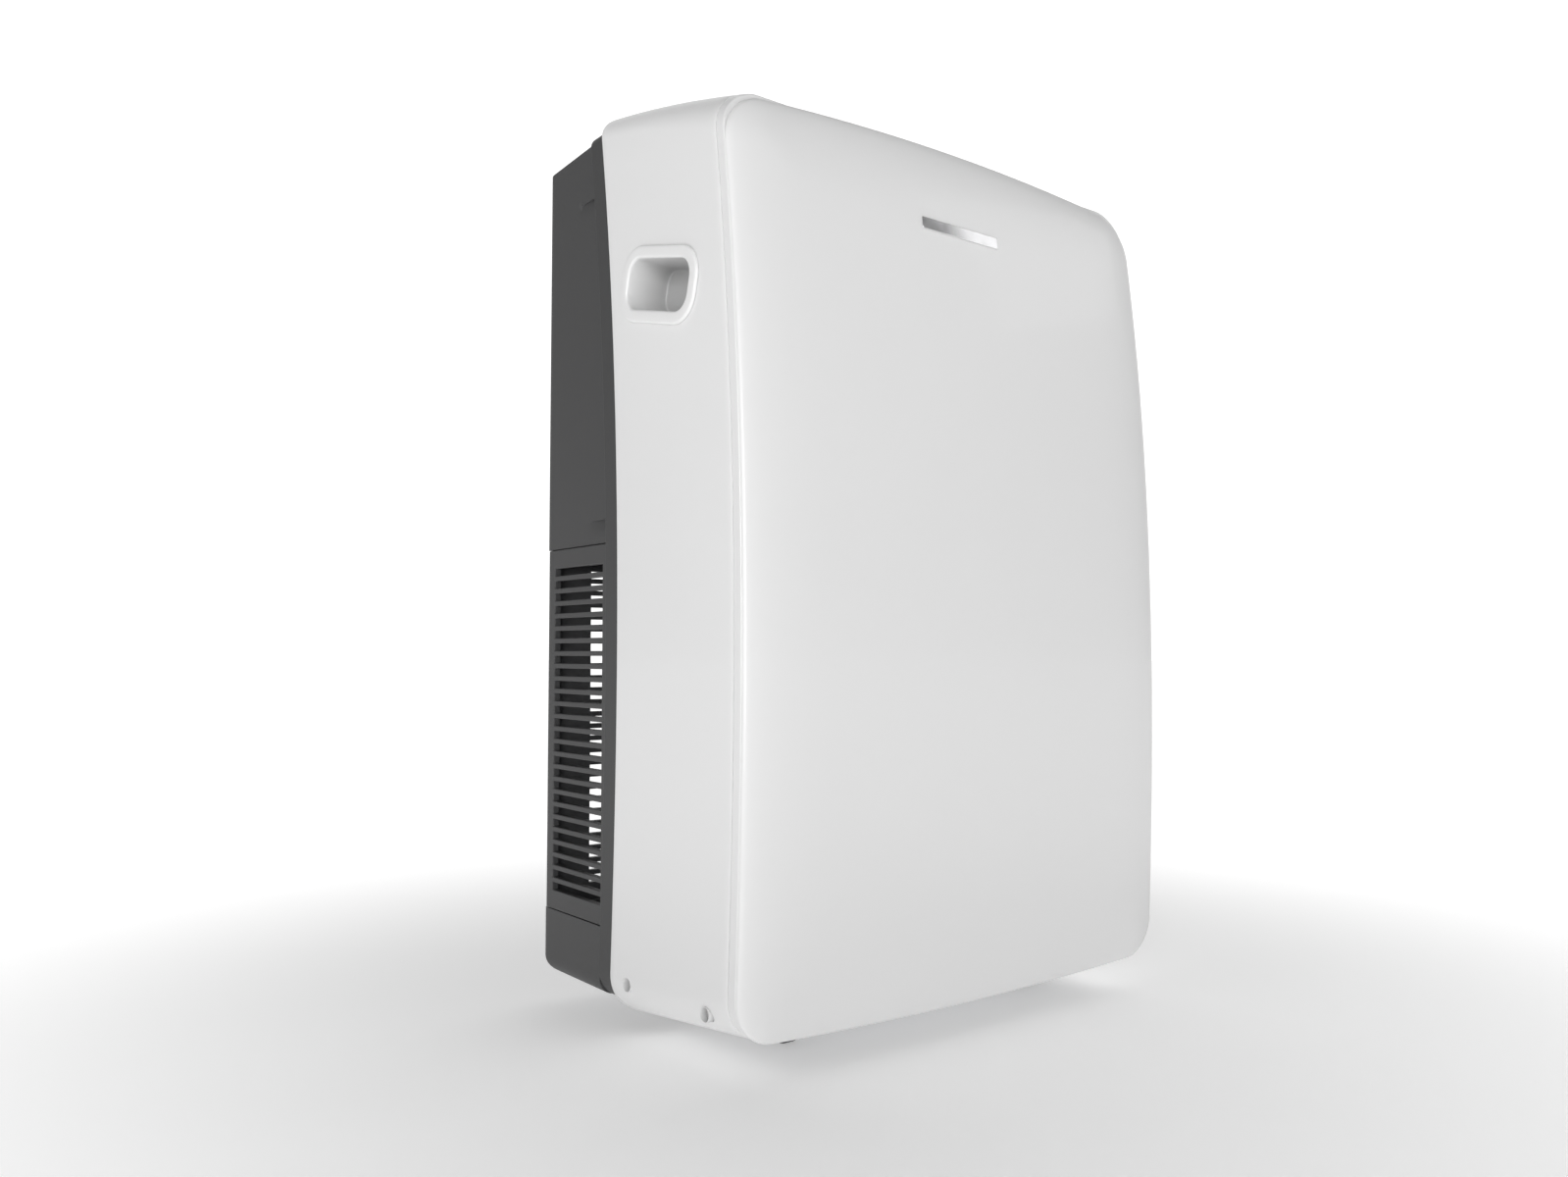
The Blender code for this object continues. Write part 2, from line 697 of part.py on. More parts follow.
def intake_grille():
    """The louvred intake wraps round both rear corners; its slats are level."""
    rows = [SEAM_LOWER + GAP]
    first = (SEAM_LOWER + SEAM_UPPER - LOUVRE_PITCH * LOUVRE_ROWS + LOUVRE_PITCH - LOUVRE_SLOT) / 2
    for k in range(LOUVRE_ROWS):
        start = first + k * LOUVRE_PITCH
        rows += [start, start + LOUVRE_SLOT]
    rows.append(SEAM_UPPER - GAP)
    # plan stations: the side slot, then the corner, then the rear slots, and the same on the right
    stations = [("end", None), ("side", SIDE_SLOT[0]), ("side", SIDE_SLOT[1])]
    stations += [("side", DEPTH - REAR_EDGE), ("rear", -REAR_HALF + REAR_EDGE)]
    for k in range(REAR_SLOTS):
        start = REAR_SLOT_START + REAR_SLOT_PITCH * k
        stations += [("rear", start), ("rear", start + REAR_SLOT_LENGTH)]
    stations += [("rear", REAR_HALF - REAR_EDGE), ("right", DEPTH - REAR_EDGE)]
    stations += [("right", SIDE_SLOT[1]), ("right", SIDE_SLOT[0]), ("right_end", None)]
    slots = {1, 5, 7, 9, 11, 15}

    def half_at(back):
        share = (back - FRAME_BACK) / (DEPTH - FRAME_BACK)
        return REAR_HALF_FRONT + (REAR_HALF - REAR_HALF_FRONT) * share

    def place(i, j, side):
        kind, value = stations[i]
        inset = LOUVRE_WALL * side
        z = rows[j]
        sign = 1 if kind.startswith("right") else -1
        if kind == "rear":
            return (value * (1 - inset / 0.3), y_of(DEPTH - inset), z)
        if value is None:
            value = FRAME_BACK + GAP + bow(z)
        if value > SIDE_SLOT[1]:
            value -= inset
        return (sign * (half_at(value) - inset), y_of(value), z)

    grille = plate(
        "intake_grille", DARK, len(stations), len(rows), place,
        is_open=lambda i, j: i in slots and j % 2 == 1)
    dissolve_flat(grille)


def rear_ports():
    centre = (0.120, y_of(DEPTH), PORT_HEIGHT)
    cap = turned("drain_cap", RUBBER, centre, [(0.0094, -0.0068), (0.0094, -0.0008), (0.0084, 0.0)], "y")
    move_origin(cap, centre)
    turned("cord_gland", RUBBER, (-0.120, y_of(DEPTH), PORT_HEIGHT),
           [(0.0064, 0.0), (0.0064, -0.0085), (0.0035, -0.0085), (0.0035, 0.0)], "y", 16, wrap=True)


# ---------------------------------------------------------------- chassis
def base_pan():
    """Sheet pan with a folded skirt underneath, and the screws that hold the white sides to it."""
    floor_z = SKIRT_LOW + 0.0150
    metal = 0.0025
    pan = box("base_pan", STEEL, (-PAN_X, PAN_X), PAN_BACK, PAN_Z)
    skirt_back = (SKIRT_BACK, PAN_BACK[1])
    skirt = box("pan_skirt", GREY, (-SKIRT_X, SKIRT_X), skirt_back, (SKIRT_LOW, PAN_Z[0] + metal))
    boolean(pan, skirt, "UNION")
    hollow_x = SKIRT_X - metal
    hollow_back = (SKIRT_BACK + metal, PAN_BACK[1] - metal)
    boolean(pan, box("pan_hollow", GREY, (-hollow_x, hollow_x), hollow_back, (0.010, floor_z)))
    bore = ((0.0018, -0.008), (0.0018, 0.008))
    bm = bmesh.new()
    for sign in (-1, 1):
        for back in SCREW_BACKS:
            turned_into(bm, (sign * (PAN_X - 0.004), y_of(back), SCREW_HEIGHT), bore, "x", 12)
    boolean(pan, finish("pan_screw_bores", bm, GREY))

    head = ((0.0030, 0.0), (0.0036, 0.0008), (0.0036, 0.0028))
    shank = ((0.0014, 0.0028), (0.0014, 0.0200))
    for side, sign in (("left", -1), ("right", 1)):
        for end, back in zip(("front", "rear"), SCREW_BACKS):
            start = (sign * (HALF_WIDTH - 0.004), y_of(back), SCREW_HEIGHT)
            profile = [(r, -sign * depth) for r, depth in head + shank]
            turned("screw_%s_%s" % (side, end), STEEL, start, profile, "x", 12)


def bulkheads():
    """Partition behind the compressor, with the shelf under the coils, and the bucket's cradle."""
    wall = box("inner_partition", GREY, (-PAN_X, PAN_X), PARTITION_BACK, (PAN_Z[1] + 0.001, SHELF_Z[1]))
    shelf = box("partition_shelf", GREY, (-PAN_X, PAN_X), (0.0400, PARTITION_BACK[1]), SHELF_Z)
    boolean(wall, shelf, "UNION")
    cradle_wall = 0.0025
    cradle_x = (-0.024, 0.184)
    back = (0.0330, 0.1250)
    top = 0.0720
    cradle = box("bucket_cradle", GREY, cradle_x, back, (PAN_Z[1] + GAP, top))
    inner_back = (back[0] + cradle_wall, back[1] - cradle_wall)
    open_x = (cradle_x[0] - 0.006, cradle_x[1] + 0.006)
    boolean(cradle, box("cradle_hollow", GREY, open_x, inner_back, (0.030, top - cradle_wall)))


def casters():
    """Four swivel casters, each with a plate, a two-legged fork, an axle and a wheel."""
    plate_profile = ((0.0120, 0.0320), (0.0120, 0.0371))
    leg_inner, leg_outer = 0.0062, 0.0088
    leg_half = 0.0045
    tread = ((0.0108, -0.0055), (WHEEL_R, -0.0042), (WHEEL_R, 0.0042), (0.0108, 0.0055))
    bore_r, axle_r, axle_half = 0.0019, 0.0015, 0.0100
    spots = [(tag + side, sign * CASTER_X, back)
             for tag, back in zip(("front_", "rear_"), CASTER_BACKS)
             for side, sign in (("left", -1), ("right", 1))]
    for tag, x, back in spots:
        hub = back + CASTER_TRAIL
        hub_point = (x, y_of(hub), WHEEL_R)
        pivot = (x, y_of(back), 0.0)
        fork = turned("caster_fork_" + tag, DARK, pivot, plate_profile, "z", 16)
        for side in (-1, 1):
            across = sorted((x + side * leg_inner, x + side * leg_outer))
            along = (hub - leg_half, hub + leg_half)
            leg = box("fork_leg_%s_%d" % (tag, side), GREY, across, along, (0.0085, 0.0330))
            boolean(fork, leg, "UNION")
        bore = ((bore_r, -0.02), (bore_r, 0.02))
        boolean(fork, turned("fork_bore_" + tag, GREY, hub_point, bore, "x", 12))
        move_origin(fork, pivot)
        hub_bore = ((bore_r, 0.0055), (bore_r, -0.0055))
        wheel = turned("caster_wheel_" + tag, RUBBER, hub_point, tread + hub_bore, "x", 24, wrap=True)
        move_origin(wheel, hub_point)
        axle = ((axle_r, -axle_half), (axle_r, axle_half))
        turned("caster_axle_" + tag, STEEL, hub_point, axle, "x", 12)


# ---------------------------------------------------------------- refrigeration and air
def comb(name, mat, backs, tooth, pitch):
    """A finned coil block: one comb outline drawn upwards."""
    low, high = [y_of(b) for b in backs]
    spine = low + 0.004
    points = [(-COIL_HALF, low), (COIL_HALF, low)]
    x = COIL_HALF
    while x - pitch > -COIL_HALF:
        points += [(x, high), (x - tooth, high), (x - tooth, spine), (x - pitch, spine)]
        x -= pitch
    points += [(x, high), (-COIL_HALF, high)]
    bm = bmesh.new()
    loft_into(bm, [[(px, py, z) for px, py in points] for z in COIL_Z])
    return finish(name, bm, mat, smooth=False)


def compressor():
    """Hermetic can on a bracket with three feet."""
    foot_circle = 0.038
    centre = (COMPRESSOR_X, y_of(COMPRESSOR_BACK), 0.0)
    can = ((0.052, 0.0500), (0.052, 0.0525), (0.046, 0.0530), (0.048, 0.0620),
           (0.048, 0.1900), (0.043, 0.2080), (0.030, 0.2200), (0.012, 0.2250))
    turned("compressor", PAINTED, centre, can, "z", 24)
    disc = ((0.0440, 0.0478), (0.0440, 0.0497))
    foot_profile = ((0.0060, 0.0403), (0.0045, 0.0440), (0.0045, 0.0485))
    bracket = turned("compressor_bracket", STEEL, centre, disc, "z", 24)
    for k in range(3):
        a = 2 * math.pi * k / 3 + 0.5
        spot = (centre[0] + foot_circle * math.cos(a), centre[1] + foot_circle * math.sin(a), 0.0)
        boolean(bracket, turned("bracket_foot_%d" % k, GREY, spot, foot_profile, "z", 12), "UNION")


def refrigeration():
    compressor()
    tooth, pitch = 0.0022, 0.0110
    comb("condenser", FIN, (0.1660, 0.1900), tooth, pitch)
    comb("evaporator", FIN, (0.2000, 0.2280), tooth, pitch)
    suction = ((-0.1400, 0.0960, 0.2240), (-0.1400, 0.0960, 0.2500), (-0.1500, 0.1000, 0.2700),
               (-0.1600, 0.1300, 0.2850), (-0.1700, 0.1480, 0.3000), (-0.1700, 0.1480, 0.3380))
    pipe("suction_pipe", COPPER, suction, 0.0040)
    discharge = ((-0.1020, 0.0960, 0.2262), (-0.1020, 0.0960, 0.2600), (-0.1100, 0.1100, 0.2900),
                 (-0.1350, 0.1400, 0.3100), (-0.1400, 0.1480, 0.3250), (-0.1400, 0.1480, 0.3380))
    pipe("discharge_pipe", COPPER, discharge, 0.0032)
    tray_x, tray_z, tray_wall = 0.172, (0.3280, 0.3480), 0.0022
    tray = box("drip_tray", GREY, (-tray_x, tray_x), TRAY_BACK, tray_z)
    inner_x = tray_x - tray_wall
    inner_back = (TRAY_BACK[0] + tray_wall, TRAY_BACK[1] - tray_wall)
    boolean(tray, box("tray_hollow", GREY, (-inner_x, inner_x), inner_back, (tray_z[0] + 0.0025, 0.360)))
    hose = ((0.150, 0.205, 0.3275), (0.150, 0.205, 0.0900), (0.148, 0.208, 0.0650), (0.138, 0.222, 0.0520),
            (0.125, 0.240, 0.0482), (0.120, 0.250, 0.0480), (0.120, 0.2575, 0.0480))
    pipe("drain_hose", CLEAR, hose, 0.0055)


def spiral(shrink, throat_top):
    """Outline of the blower's scroll: a widening turn that ends in an upright throat."""
    points = []
    for k in range(25):
        turn = k / 24
        a = math.radians(60 + 300 * turn)
        r = 0.080 + 0.022 * turn - shrink
        points.append((BLOWER_X + r * math.cos(a), BLOWER_HEIGHT + r * math.sin(a)))
    side = points[-1][0]
    return points + [(side, throat_top), (points[0][0] + 2 * shrink, throat_top)]


def scroll(name, shrink, throat_top, backs):
    outline = spiral(shrink, throat_top)
    return loft(name, GREY, [[(x, y_of(b), z) for x, z in outline] for b in backs])


def blower():
    """Scroll housing, cage wheel with its hub, and the motor in front of them."""
    low, high = HOUSING_BACK
    housing = scroll("blower_housing", 0.0, 0.5740, HOUSING_BACK)
    inner = (low + HOUSING_WALL, high - HOUSING_WALL)
    boolean(housing, scroll("housing_hollow", HOUSING_WALL, 0.5900, inner))
    centre = (BLOWER_X, y_of(low), BLOWER_HEIGHT)
    eye = ((0.0560, 0.0500), (0.0560, 0.0700))
    boolean(housing, turned("housing_eye", GREY, centre, eye, "y", 24))
    motor_hole = ((0.0120, -0.01), (0.0120, 0.01))
    boolean(housing, turned("housing_motor_hole", GREY, centre, motor_hole, "y", 16))

    hub_low, hub_high = [y_of(b) for b in WHEEL_BACK]
    rim = 0.004

    def cage(i, j, side):
        a = math.pi * i / BLADES
        r = (0.0700, 0.0600)[side]
        y = (hub_low, hub_low + rim, hub_high - rim, hub_high)[j]
        return (BLOWER_X + r * math.cos(a), y, BLOWER_HEIGHT + r * math.sin(a))

    wheel = plate("blower_wheel", GREY, 2 * BLADES, 4, cage, wrap=True,
                  is_open=lambda i, j: j == 1 and i % 2 == 1)
    disc = ((0.0620, 0.0005), (0.0620, 0.0030), (0.0120, 0.0080), (0.0120, 0.0200),
            (0.0034, 0.0200), (0.0034, 0.0005))
    hub_centre = (BLOWER_X, hub_low, BLOWER_HEIGHT)
    boolean(wheel, turned("wheel_disc", GREY, hub_centre, disc, "y", 24, wrap=True), "UNION")
    move_origin(wheel, hub_centre)
    motor = ((0.0300, 0.0480), (0.0380, 0.0520), (0.0380, 0.0860), (0.0300, 0.0900),
             (0.0110, 0.0905), (0.0110, 0.0950), (0.0030, 0.0952), (0.0030, 0.1170))
    turned("fan_motor", PAINTED, (BLOWER_X, y_of(0.0), BLOWER_HEIGHT), motor, "y", 24)


def electrics():
    box("electrical_box", GREY, (-0.172, -0.118), (0.0450, 0.0900), (0.3485, 0.4300), 0.002)
    box("float_switch", BLACK, (-0.0340, -0.0250), (0.0700, 0.0880), (0.2300, 0.2600), 0.001)


def air_filter():
    """Framed mesh behind the evaporator; it comes off with the upper rear cover."""
    inner = FILTER_HALF - FILTER_BAR
    low, high = COIL_Z
    xs = [-FILTER_HALF, -inner, inner, FILTER_HALF]
    zs = [low, low + FILTER_BAR, high - FILTER_BAR, high]

    def place(i, j, side):
        return (xs[i], y_of(FILTER_BACKS[side]), zs[j])

    plate("air_filter_frame", DARK, len(xs), len(zs), place, is_open=lambda i, j: i == 1 and j == 1)
    mesh_x = (GAP - inner, inner - GAP)
    box("air_filter_mesh", MESH, mesh_x, (0.2406, 0.2414), (zs[1] + GAP, zs[2] - GAP))


# ---------------------------------------------------------------- water bucket
def tub(pivot_back, pivot_z, float_x, float_z):
    """The open bucket, with holes for the bail's pins and the float's rod."""
    made = box("water_bucket", CLEAR, BUCKET_X, BUCKET_BACK, BUCKET_Z, 0.004)
    inner_x = (BUCKET_X[0] + BUCKET_WALL, BUCKET_X[1] - BUCKET_WALL)
    inner_back = (BUCKET_BACK[0] + BUCKET_WALL, BUCKET_BACK[1] - BUCKET_WALL)
    inner_z = (BUCKET_Z[0] + 0.0025, BUCKET_Z[1] + 0.01)
    boolean(made, box("tub_hollow", GREY, inner_x, inner_back, inner_z, 0.003))
    middle_x = sum(BUCKET_X) / 2
    bail_hole = ((0.0025, -0.2), (0.0025, 0.2))
    boolean(made, turned("bail_holes", GREY, (middle_x, y_of(pivot_back), pivot_z), bail_hole, "x", 12))
    float_hole = ((0.0022, -0.1), (0.0022, 0.1))
    boolean(made, turned("float_holes", GREY, (float_x, y_of(pivot_back), float_z), float_hole, "y", 12))
    return inner_x


def bucket_face():
    """White door on the bucket's end, with a finger slot."""
    thin = 0.0022
    face = box("bucket_face", WHITE, (BUCKET_X[1] + GAP, HALF_WIDTH), FACE_BACK, FACE_Z)
    inner_back = (FACE_BACK[0] + thin, FACE_BACK[1] - thin)
    inner_z = (FACE_Z[0] + thin, FACE_Z[1] - thin)
    inner_x = (BUCKET_X[1] - 0.01, HALF_WIDTH - WALL)
    boolean(face, box("face_hollow", GREY, inner_x, inner_back, inner_z))
    boolean(face, box("finger_slot", GREY, (0.185, 0.200), FINGER_SLOT_BACK, FINGER_SLOT_Z))


def bail(inner_x, pivot_back, pivot_z):
    """It lies folded towards the front, just inside the mouth of the bucket."""
    half = BAIL_BAR / 2
    arm = 0.004
    arm_x = (inner_x[0] + 0.0010, inner_x[1] - 0.0010)
    bar_back = pivot_back - BAIL_RADIUS
    heights = (pivot_z - half, pivot_z + half)
    made = box("bucket_bail", DARK, arm_x, (bar_back - half, pivot_back + arm), heights)
    gap_x = (arm_x[0] + arm, arm_x[1] - arm)
    gap_back = (bar_back + half, pivot_back + 0.01)
    boolean(made, box("bail_gap", GREY, gap_x, gap_back, (pivot_z - 0.01, pivot_z + 0.01)))
    pins = ((arm_x[0] - 0.0025, arm_x[0] + 0.002), (arm_x[1] - 0.002, arm_x[1] + 0.0025))
    for k, (start, end) in enumerate(pins):
        profile = ((0.0020, start), (0.0020, end))
        pin = turned("bail_pin_%d" % k, GREY, (0.0, y_of(pivot_back), pivot_z), profile, "x", 12)
        boolean(made, pin, "UNION")
    move_origin(made, (sum(BUCKET_X) / 2, y_of(pivot_back), pivot_z))


def float_arm(pivot_back, float_x, float_z):
    """The float hangs on a rod across the bucket and swings up with the water."""
    rod_half = (BUCKET_BACK[1] - BUCKET_BACK[0]) / 2 - 0.0006
    rod = ((0.0018, -rod_half), (0.0018, rod_half))
    swing = turned("bucket_float", FOAM, (float_x, y_of(pivot_back), float_z), rod, "y", 12)
    arm_back = (pivot_back - 0.004, pivot_back + 0.004)
    arm_z = (float_z - 0.0025, float_z + 0.0025)
    boolean(swing, box("float_link", GREY, (float_x - 0.001, float_x + 0.020), arm_back, arm_z), "UNION")
    block_back = (pivot_back - 0.016, pivot_back + 0.016)
    block_z = (float_z - 0.012, float_z + 0.008)
    block = box("float_block", GREY, (float_x + 0.019, float_x + 0.049), block_back, block_z, 0.002)
    boolean(swing, block, "UNION")
    move_origin(swing, (float_x, y_of(pivot_back), float_z))


def bucket():
    pivot_back = sum(BUCKET_BACK) / 2
    pivot_z = BUCKET_Z[1] - 0.0070
    float_x, float_z = BUCKET_X[0] + 0.012, 0.2420
    inner_x = tub(pivot_back, pivot_z, float_x, float_z)
    bucket_face()
    bail(inner_x, pivot_back, pivot_z)
    float_arm(pivot_back, float_x, float_z)


# ---------------------------------------------------------------- assembly
front()
left_side = side_panel("left_side_panel", 1)
right_side = side_panel("right_side_panel", -1)
doorway_back = (FACE_BACK[0] - FACE_CLEAR, FACE_BACK[1] + FACE_CLEAR)
doorway_z = (FACE_Z[0] - FACE_CLEAR, FACE_Z[1] + FACE_CLEAR)
boolean(right_side, box("bucket_doorway", GREY, (0.150, 0.210), doorway_back, doorway_z))
handle_cup("left_handle_cup", 1)
handle_cup("right_handle_cup", -1)
top()
frame_ring()
rear_covers()
intake_grille()
rear_ports()
base_pan()
bulkheads()
casters()
refrigeration()
blower()
electrics()
air_filter()
bucket()
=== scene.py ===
# %% [markdown]
# # A dehumidifier on casters
# The machine is a bowed white case clipped to a dark grey rear. Air comes in through louvres that
# wrap round the rear corners and leaves through a grille on top. The frame we load holds the working
# design: every part in its true place, grouped into bodies that move. Our job is what the eye sees,
# so we build fine pieces over that frame and never move it.

import math

import bmesh
import bpy
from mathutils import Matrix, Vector


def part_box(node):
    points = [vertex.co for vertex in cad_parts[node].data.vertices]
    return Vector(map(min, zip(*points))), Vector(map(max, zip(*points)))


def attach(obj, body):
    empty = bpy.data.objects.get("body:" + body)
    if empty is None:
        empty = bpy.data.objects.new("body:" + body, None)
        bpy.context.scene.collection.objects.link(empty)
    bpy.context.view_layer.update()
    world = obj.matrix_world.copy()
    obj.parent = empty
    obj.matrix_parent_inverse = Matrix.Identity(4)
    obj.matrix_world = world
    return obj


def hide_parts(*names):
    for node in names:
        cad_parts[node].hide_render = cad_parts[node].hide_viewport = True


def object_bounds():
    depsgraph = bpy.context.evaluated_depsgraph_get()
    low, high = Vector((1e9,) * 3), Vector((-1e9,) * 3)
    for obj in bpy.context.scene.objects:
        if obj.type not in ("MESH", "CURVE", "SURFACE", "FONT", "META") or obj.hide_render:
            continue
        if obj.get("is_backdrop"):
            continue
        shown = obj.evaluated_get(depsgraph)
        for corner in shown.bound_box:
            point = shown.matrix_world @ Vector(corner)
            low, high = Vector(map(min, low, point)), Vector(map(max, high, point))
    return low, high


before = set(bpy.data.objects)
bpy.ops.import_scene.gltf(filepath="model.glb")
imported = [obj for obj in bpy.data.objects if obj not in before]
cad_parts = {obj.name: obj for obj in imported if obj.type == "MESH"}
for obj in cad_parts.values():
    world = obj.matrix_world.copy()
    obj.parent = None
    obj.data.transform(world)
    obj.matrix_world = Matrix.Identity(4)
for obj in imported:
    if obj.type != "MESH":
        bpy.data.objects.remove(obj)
cad_low, cad_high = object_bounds()

# %% [markdown]
# ## Camera
# A product of this height looks natural from about its own middle height, with a lens a little
# wider than normal. We stand to the front left, so that one side and the front both show, and tilt
# up by three degrees. A camera looks down its own -Z, so a quarter turn about X makes it level.

# %% Camera
EYE = (-0.6308, -0.7072, 0.2485)
HEADING = math.radians(38.71)
TILT_UP = math.radians(2.88)

lens = bpy.data.cameras.new("studio_camera")
lens.sensor_width = 36.0
lens.lens = 29.29
camera = bpy.data.objects.new("studio_camera", lens)
camera.location = EYE
camera.rotation_euler = (math.pi / 2 + TILT_UP, 0.0, -HEADING)
bpy.context.collection.objects.link(camera)
bpy.context.scene.camera = camera
print("camera stands", round(Vector(EYE).length, 3), "m from the middle of the floor")

# %% [markdown]
# ## Shader maths
# Materials here are written as sums. A Wire stands for one output socket of a node, and the usual
# operators on it add Math nodes, so `1 - mask` reads as it would on paper. The `node` method of
# Nodes makes any other node: settings first, then values or links. A Finish holds one material.

# %% Wire and Finish
class Wire:
    """One output socket; arithmetic on it adds Math nodes beside it."""

    def __init__(self, nodes, socket):
        self.nodes = nodes
        self.socket = socket

    def maths(self, operation, first, second):
        return self.nodes.node("ShaderNodeMath", {"operation": operation}, {0: first, 1: second})

    def __add__(self, other):
        return self.maths("ADD", self, other)

    def __radd__(self, other):
        return self.maths("ADD", other, self)

    def __sub__(self, other):
        return self.maths("SUBTRACT", self, other)

    def __rsub__(self, other):
        return self.maths("SUBTRACT", other, self)

    def __mul__(self, other):
        return self.maths("MULTIPLY", self, other)

    def __rmul__(self, other):
        return self.maths("MULTIPLY", other, self)

    def __gt__(self, other):
        return self.maths("GREATER_THAN", self, other)


class Nodes:
    """The nodes of a material or of the sky."""

    def __init__(self, tree):
        self.tree = tree

    def node(self, kind, settings=None, inputs=None, output=0):
        made = self.tree.nodes.new(kind)
        for key, value in (settings or {}).items():
            setattr(made, key, value)
        for key, value in (inputs or {}).items():
            self.feed(made.inputs[key], value)
        return Wire(self, made.outputs[output])

    def feed(self, socket, value):
        if isinstance(value, Wire):
            self.tree.links.new(value.socket, socket)
        else:
            socket.default_value = value


class Finish(Nodes):
    """A material in the making, with coordinates in metres."""

    def __init__(self, name, **constants):
        self.material = bpy.data.materials.new(name)
        self.material.use_nodes = True
        super().__init__(self.material.node_tree)
        self.shader = self.tree.nodes["Principled BSDF"]
        for words, value in constants.items():
            self.shader.inputs[words.replace("_", " ").title()].default_value = value
        self.metres = self.node("ShaderNodeTexCoord", output="Object")

    def noise(self, size, detail=2.0, stretch=(1, 1, 1)):
        """Cloudy values from 0 to 1, in lumps about size metres across."""
        scaled = {0: self.metres, 1: stretch}
        place = self.node("ShaderNodeVectorMath", {"operation": "MULTIPLY"}, scaled)
        return self.node("ShaderNodeTexNoise", None, {"Vector": place, "Scale": 1 / size, "Detail": detail})

    def axis(self, letter):
        return self.node("ShaderNodeSeparateXYZ", None, {0: self.metres}, letter)

    def blend(self, mask, low, high):
        """A colour between two colours."""
        settings = {"data_type": "RGBA"}
        values = {0: mask, 6: (*low, 1.0), 7: (*high, 1.0)}
        return self.node("ShaderNodeMix", settings, values, 2)

    def bump(self, height, depth):
        values = {"Height": height, "Distance": depth, "Strength": 1.0}
        self.feed(self.shader.inputs["Normal"], self.node("ShaderNodeBump", None, values, "Normal"))

    def set(self, words, value):
        self.feed(self.shader.inputs[words], value)


print("shader maths ready")

# %% [markdown]
# ## Moulded plastics
# Nearly all of the skin is injection moulded. The white front is polished in the mould and keeps
# only a faint waviness. The dark rear is spark eroded: a fine even grain that kills reflections.
# One recipe serves both; only the grain's size and depth differ. Handling leaves slow changes in
# gloss, so a broad noise drives roughness a little.

# %% Plastic recipe
def plastic(name, colour, rough, grain, depth, drift=0.03, coat=0.0, **more):
    made = Finish(name, coat_weight=coat, **more)
    broad = made.noise(0.07, 3.0)
    fine = made.noise(grain, 2.0)
    shade = tuple(channel * (1 - drift) for channel in colour)
    made.set("Base Color", made.blend(broad, shade, colour))
    made.set("Roughness", rough + 0.10 * (broad - 0.5) + 0.05 * (fine - 0.5))
    made.bump(fine, depth)
    return made.material


def pocket(name, deep, rough=0.36):
    """The white plastic inside a pocket, painted darker with depth to stand in for shade."""
    made = Finish(name, coat_weight=0.10)
    across = made.node("ShaderNodeMath", {"operation": "ABSOLUTE"}, {0: made.axis("X")})
    span = {"Value": across, "From Min": deep, "From Max": 0.1940}
    level = made.node("ShaderNodeMapRange", None, span)
    made.set("Base Color", made.blend(level, (0.40, 0.40, 0.40), (0.80, 0.80, 0.80)))
    made.set("Roughness", rough + 0.05 * (made.noise(0.0016) - 0.5))
    return made.material


WHITE = plastic("white_case", (0.80, 0.80, 0.80), 0.34, 0.0016, 0.000012, 0.012, 0.15)
DARK = plastic("dark_eroded", (0.055, 0.055, 0.056), 0.52, 0.0005, 0.000035, 0.08)
CASTER_GREY = plastic("caster_nylon", (0.045, 0.045, 0.047), 0.42, 0.0007, 0.00003, 0.10)
INNER_GREY = plastic("inner_grey", (0.33, 0.34, 0.35), 0.50, 0.0008, 0.00004, 0.06)
BLACK = plastic("gloss_black", (0.012, 0.012, 0.013), 0.10, 0.0030, 0.000006, 0.10, 0.6)
BUTTON_GREY = plastic("button_grey", (0.36, 0.37, 0.38), 0.42, 0.0005, 0.00002, 0.05)
POCKET_WHITE = pocket("pocket_white", 0.1700)
RECESS_WHITE = pocket("recess_white", 0.1890)
FLOAT_WHITE = plastic("float_foam", (0.80, 0.80, 0.77), 0.75, 0.0009, 0.00012, 0.08)
MARK_WHITE = plastic("printed_mark", (0.78, 0.79, 0.80), 0.55, 0.0006, 0.00001, 0.05)
CLEAR = plastic("clear_tub", (0.74, 0.82, 0.86), 0.10, 0.0040, 0.00002, 0.05, 0.3, alpha=0.42)
print("ten opaque plastics and one clear one")

# %% [markdown]
# ## Metals, rubber and the rest
# Rolled steel has streaks along the rolling direction, galvanised sheet has spangle, and copper
# tube darkens in patches. Each is a stretched or cellular noise that drives roughness and colour.

# %% Metal recipes
def metal(name, low, high, rough, size, stretch=(1, 1, 1), depth=0.00002):
    made = Finish(name, metallic=1.0)
    streak = made.noise(size, 4.0, stretch)
    made.set("Base Color", made.blend(streak, low, high))
    made.set("Roughness", rough + 0.22 * (streak - 0.5))
    made.bump(streak, depth)
    return made.material


def spangle():
    """Galvanised sheet: crystals a centimetre across, each with its own brightness."""
    made = Finish("galvanised_sheet", metallic=1.0)
    cell = made.node("ShaderNodeTexVoronoi", None, {"Vector": made.metres, "Scale": 110.0}, "Color")
    level = made.node("ShaderNodeSeparateColor", None, {0: cell}, "Red")
    made.set("Base Color", made.blend(level, (0.47, 0.48, 0.50), (0.66, 0.67, 0.69)))
    made.set("Roughness", 0.34 + 0.16 * level)
    return made.material


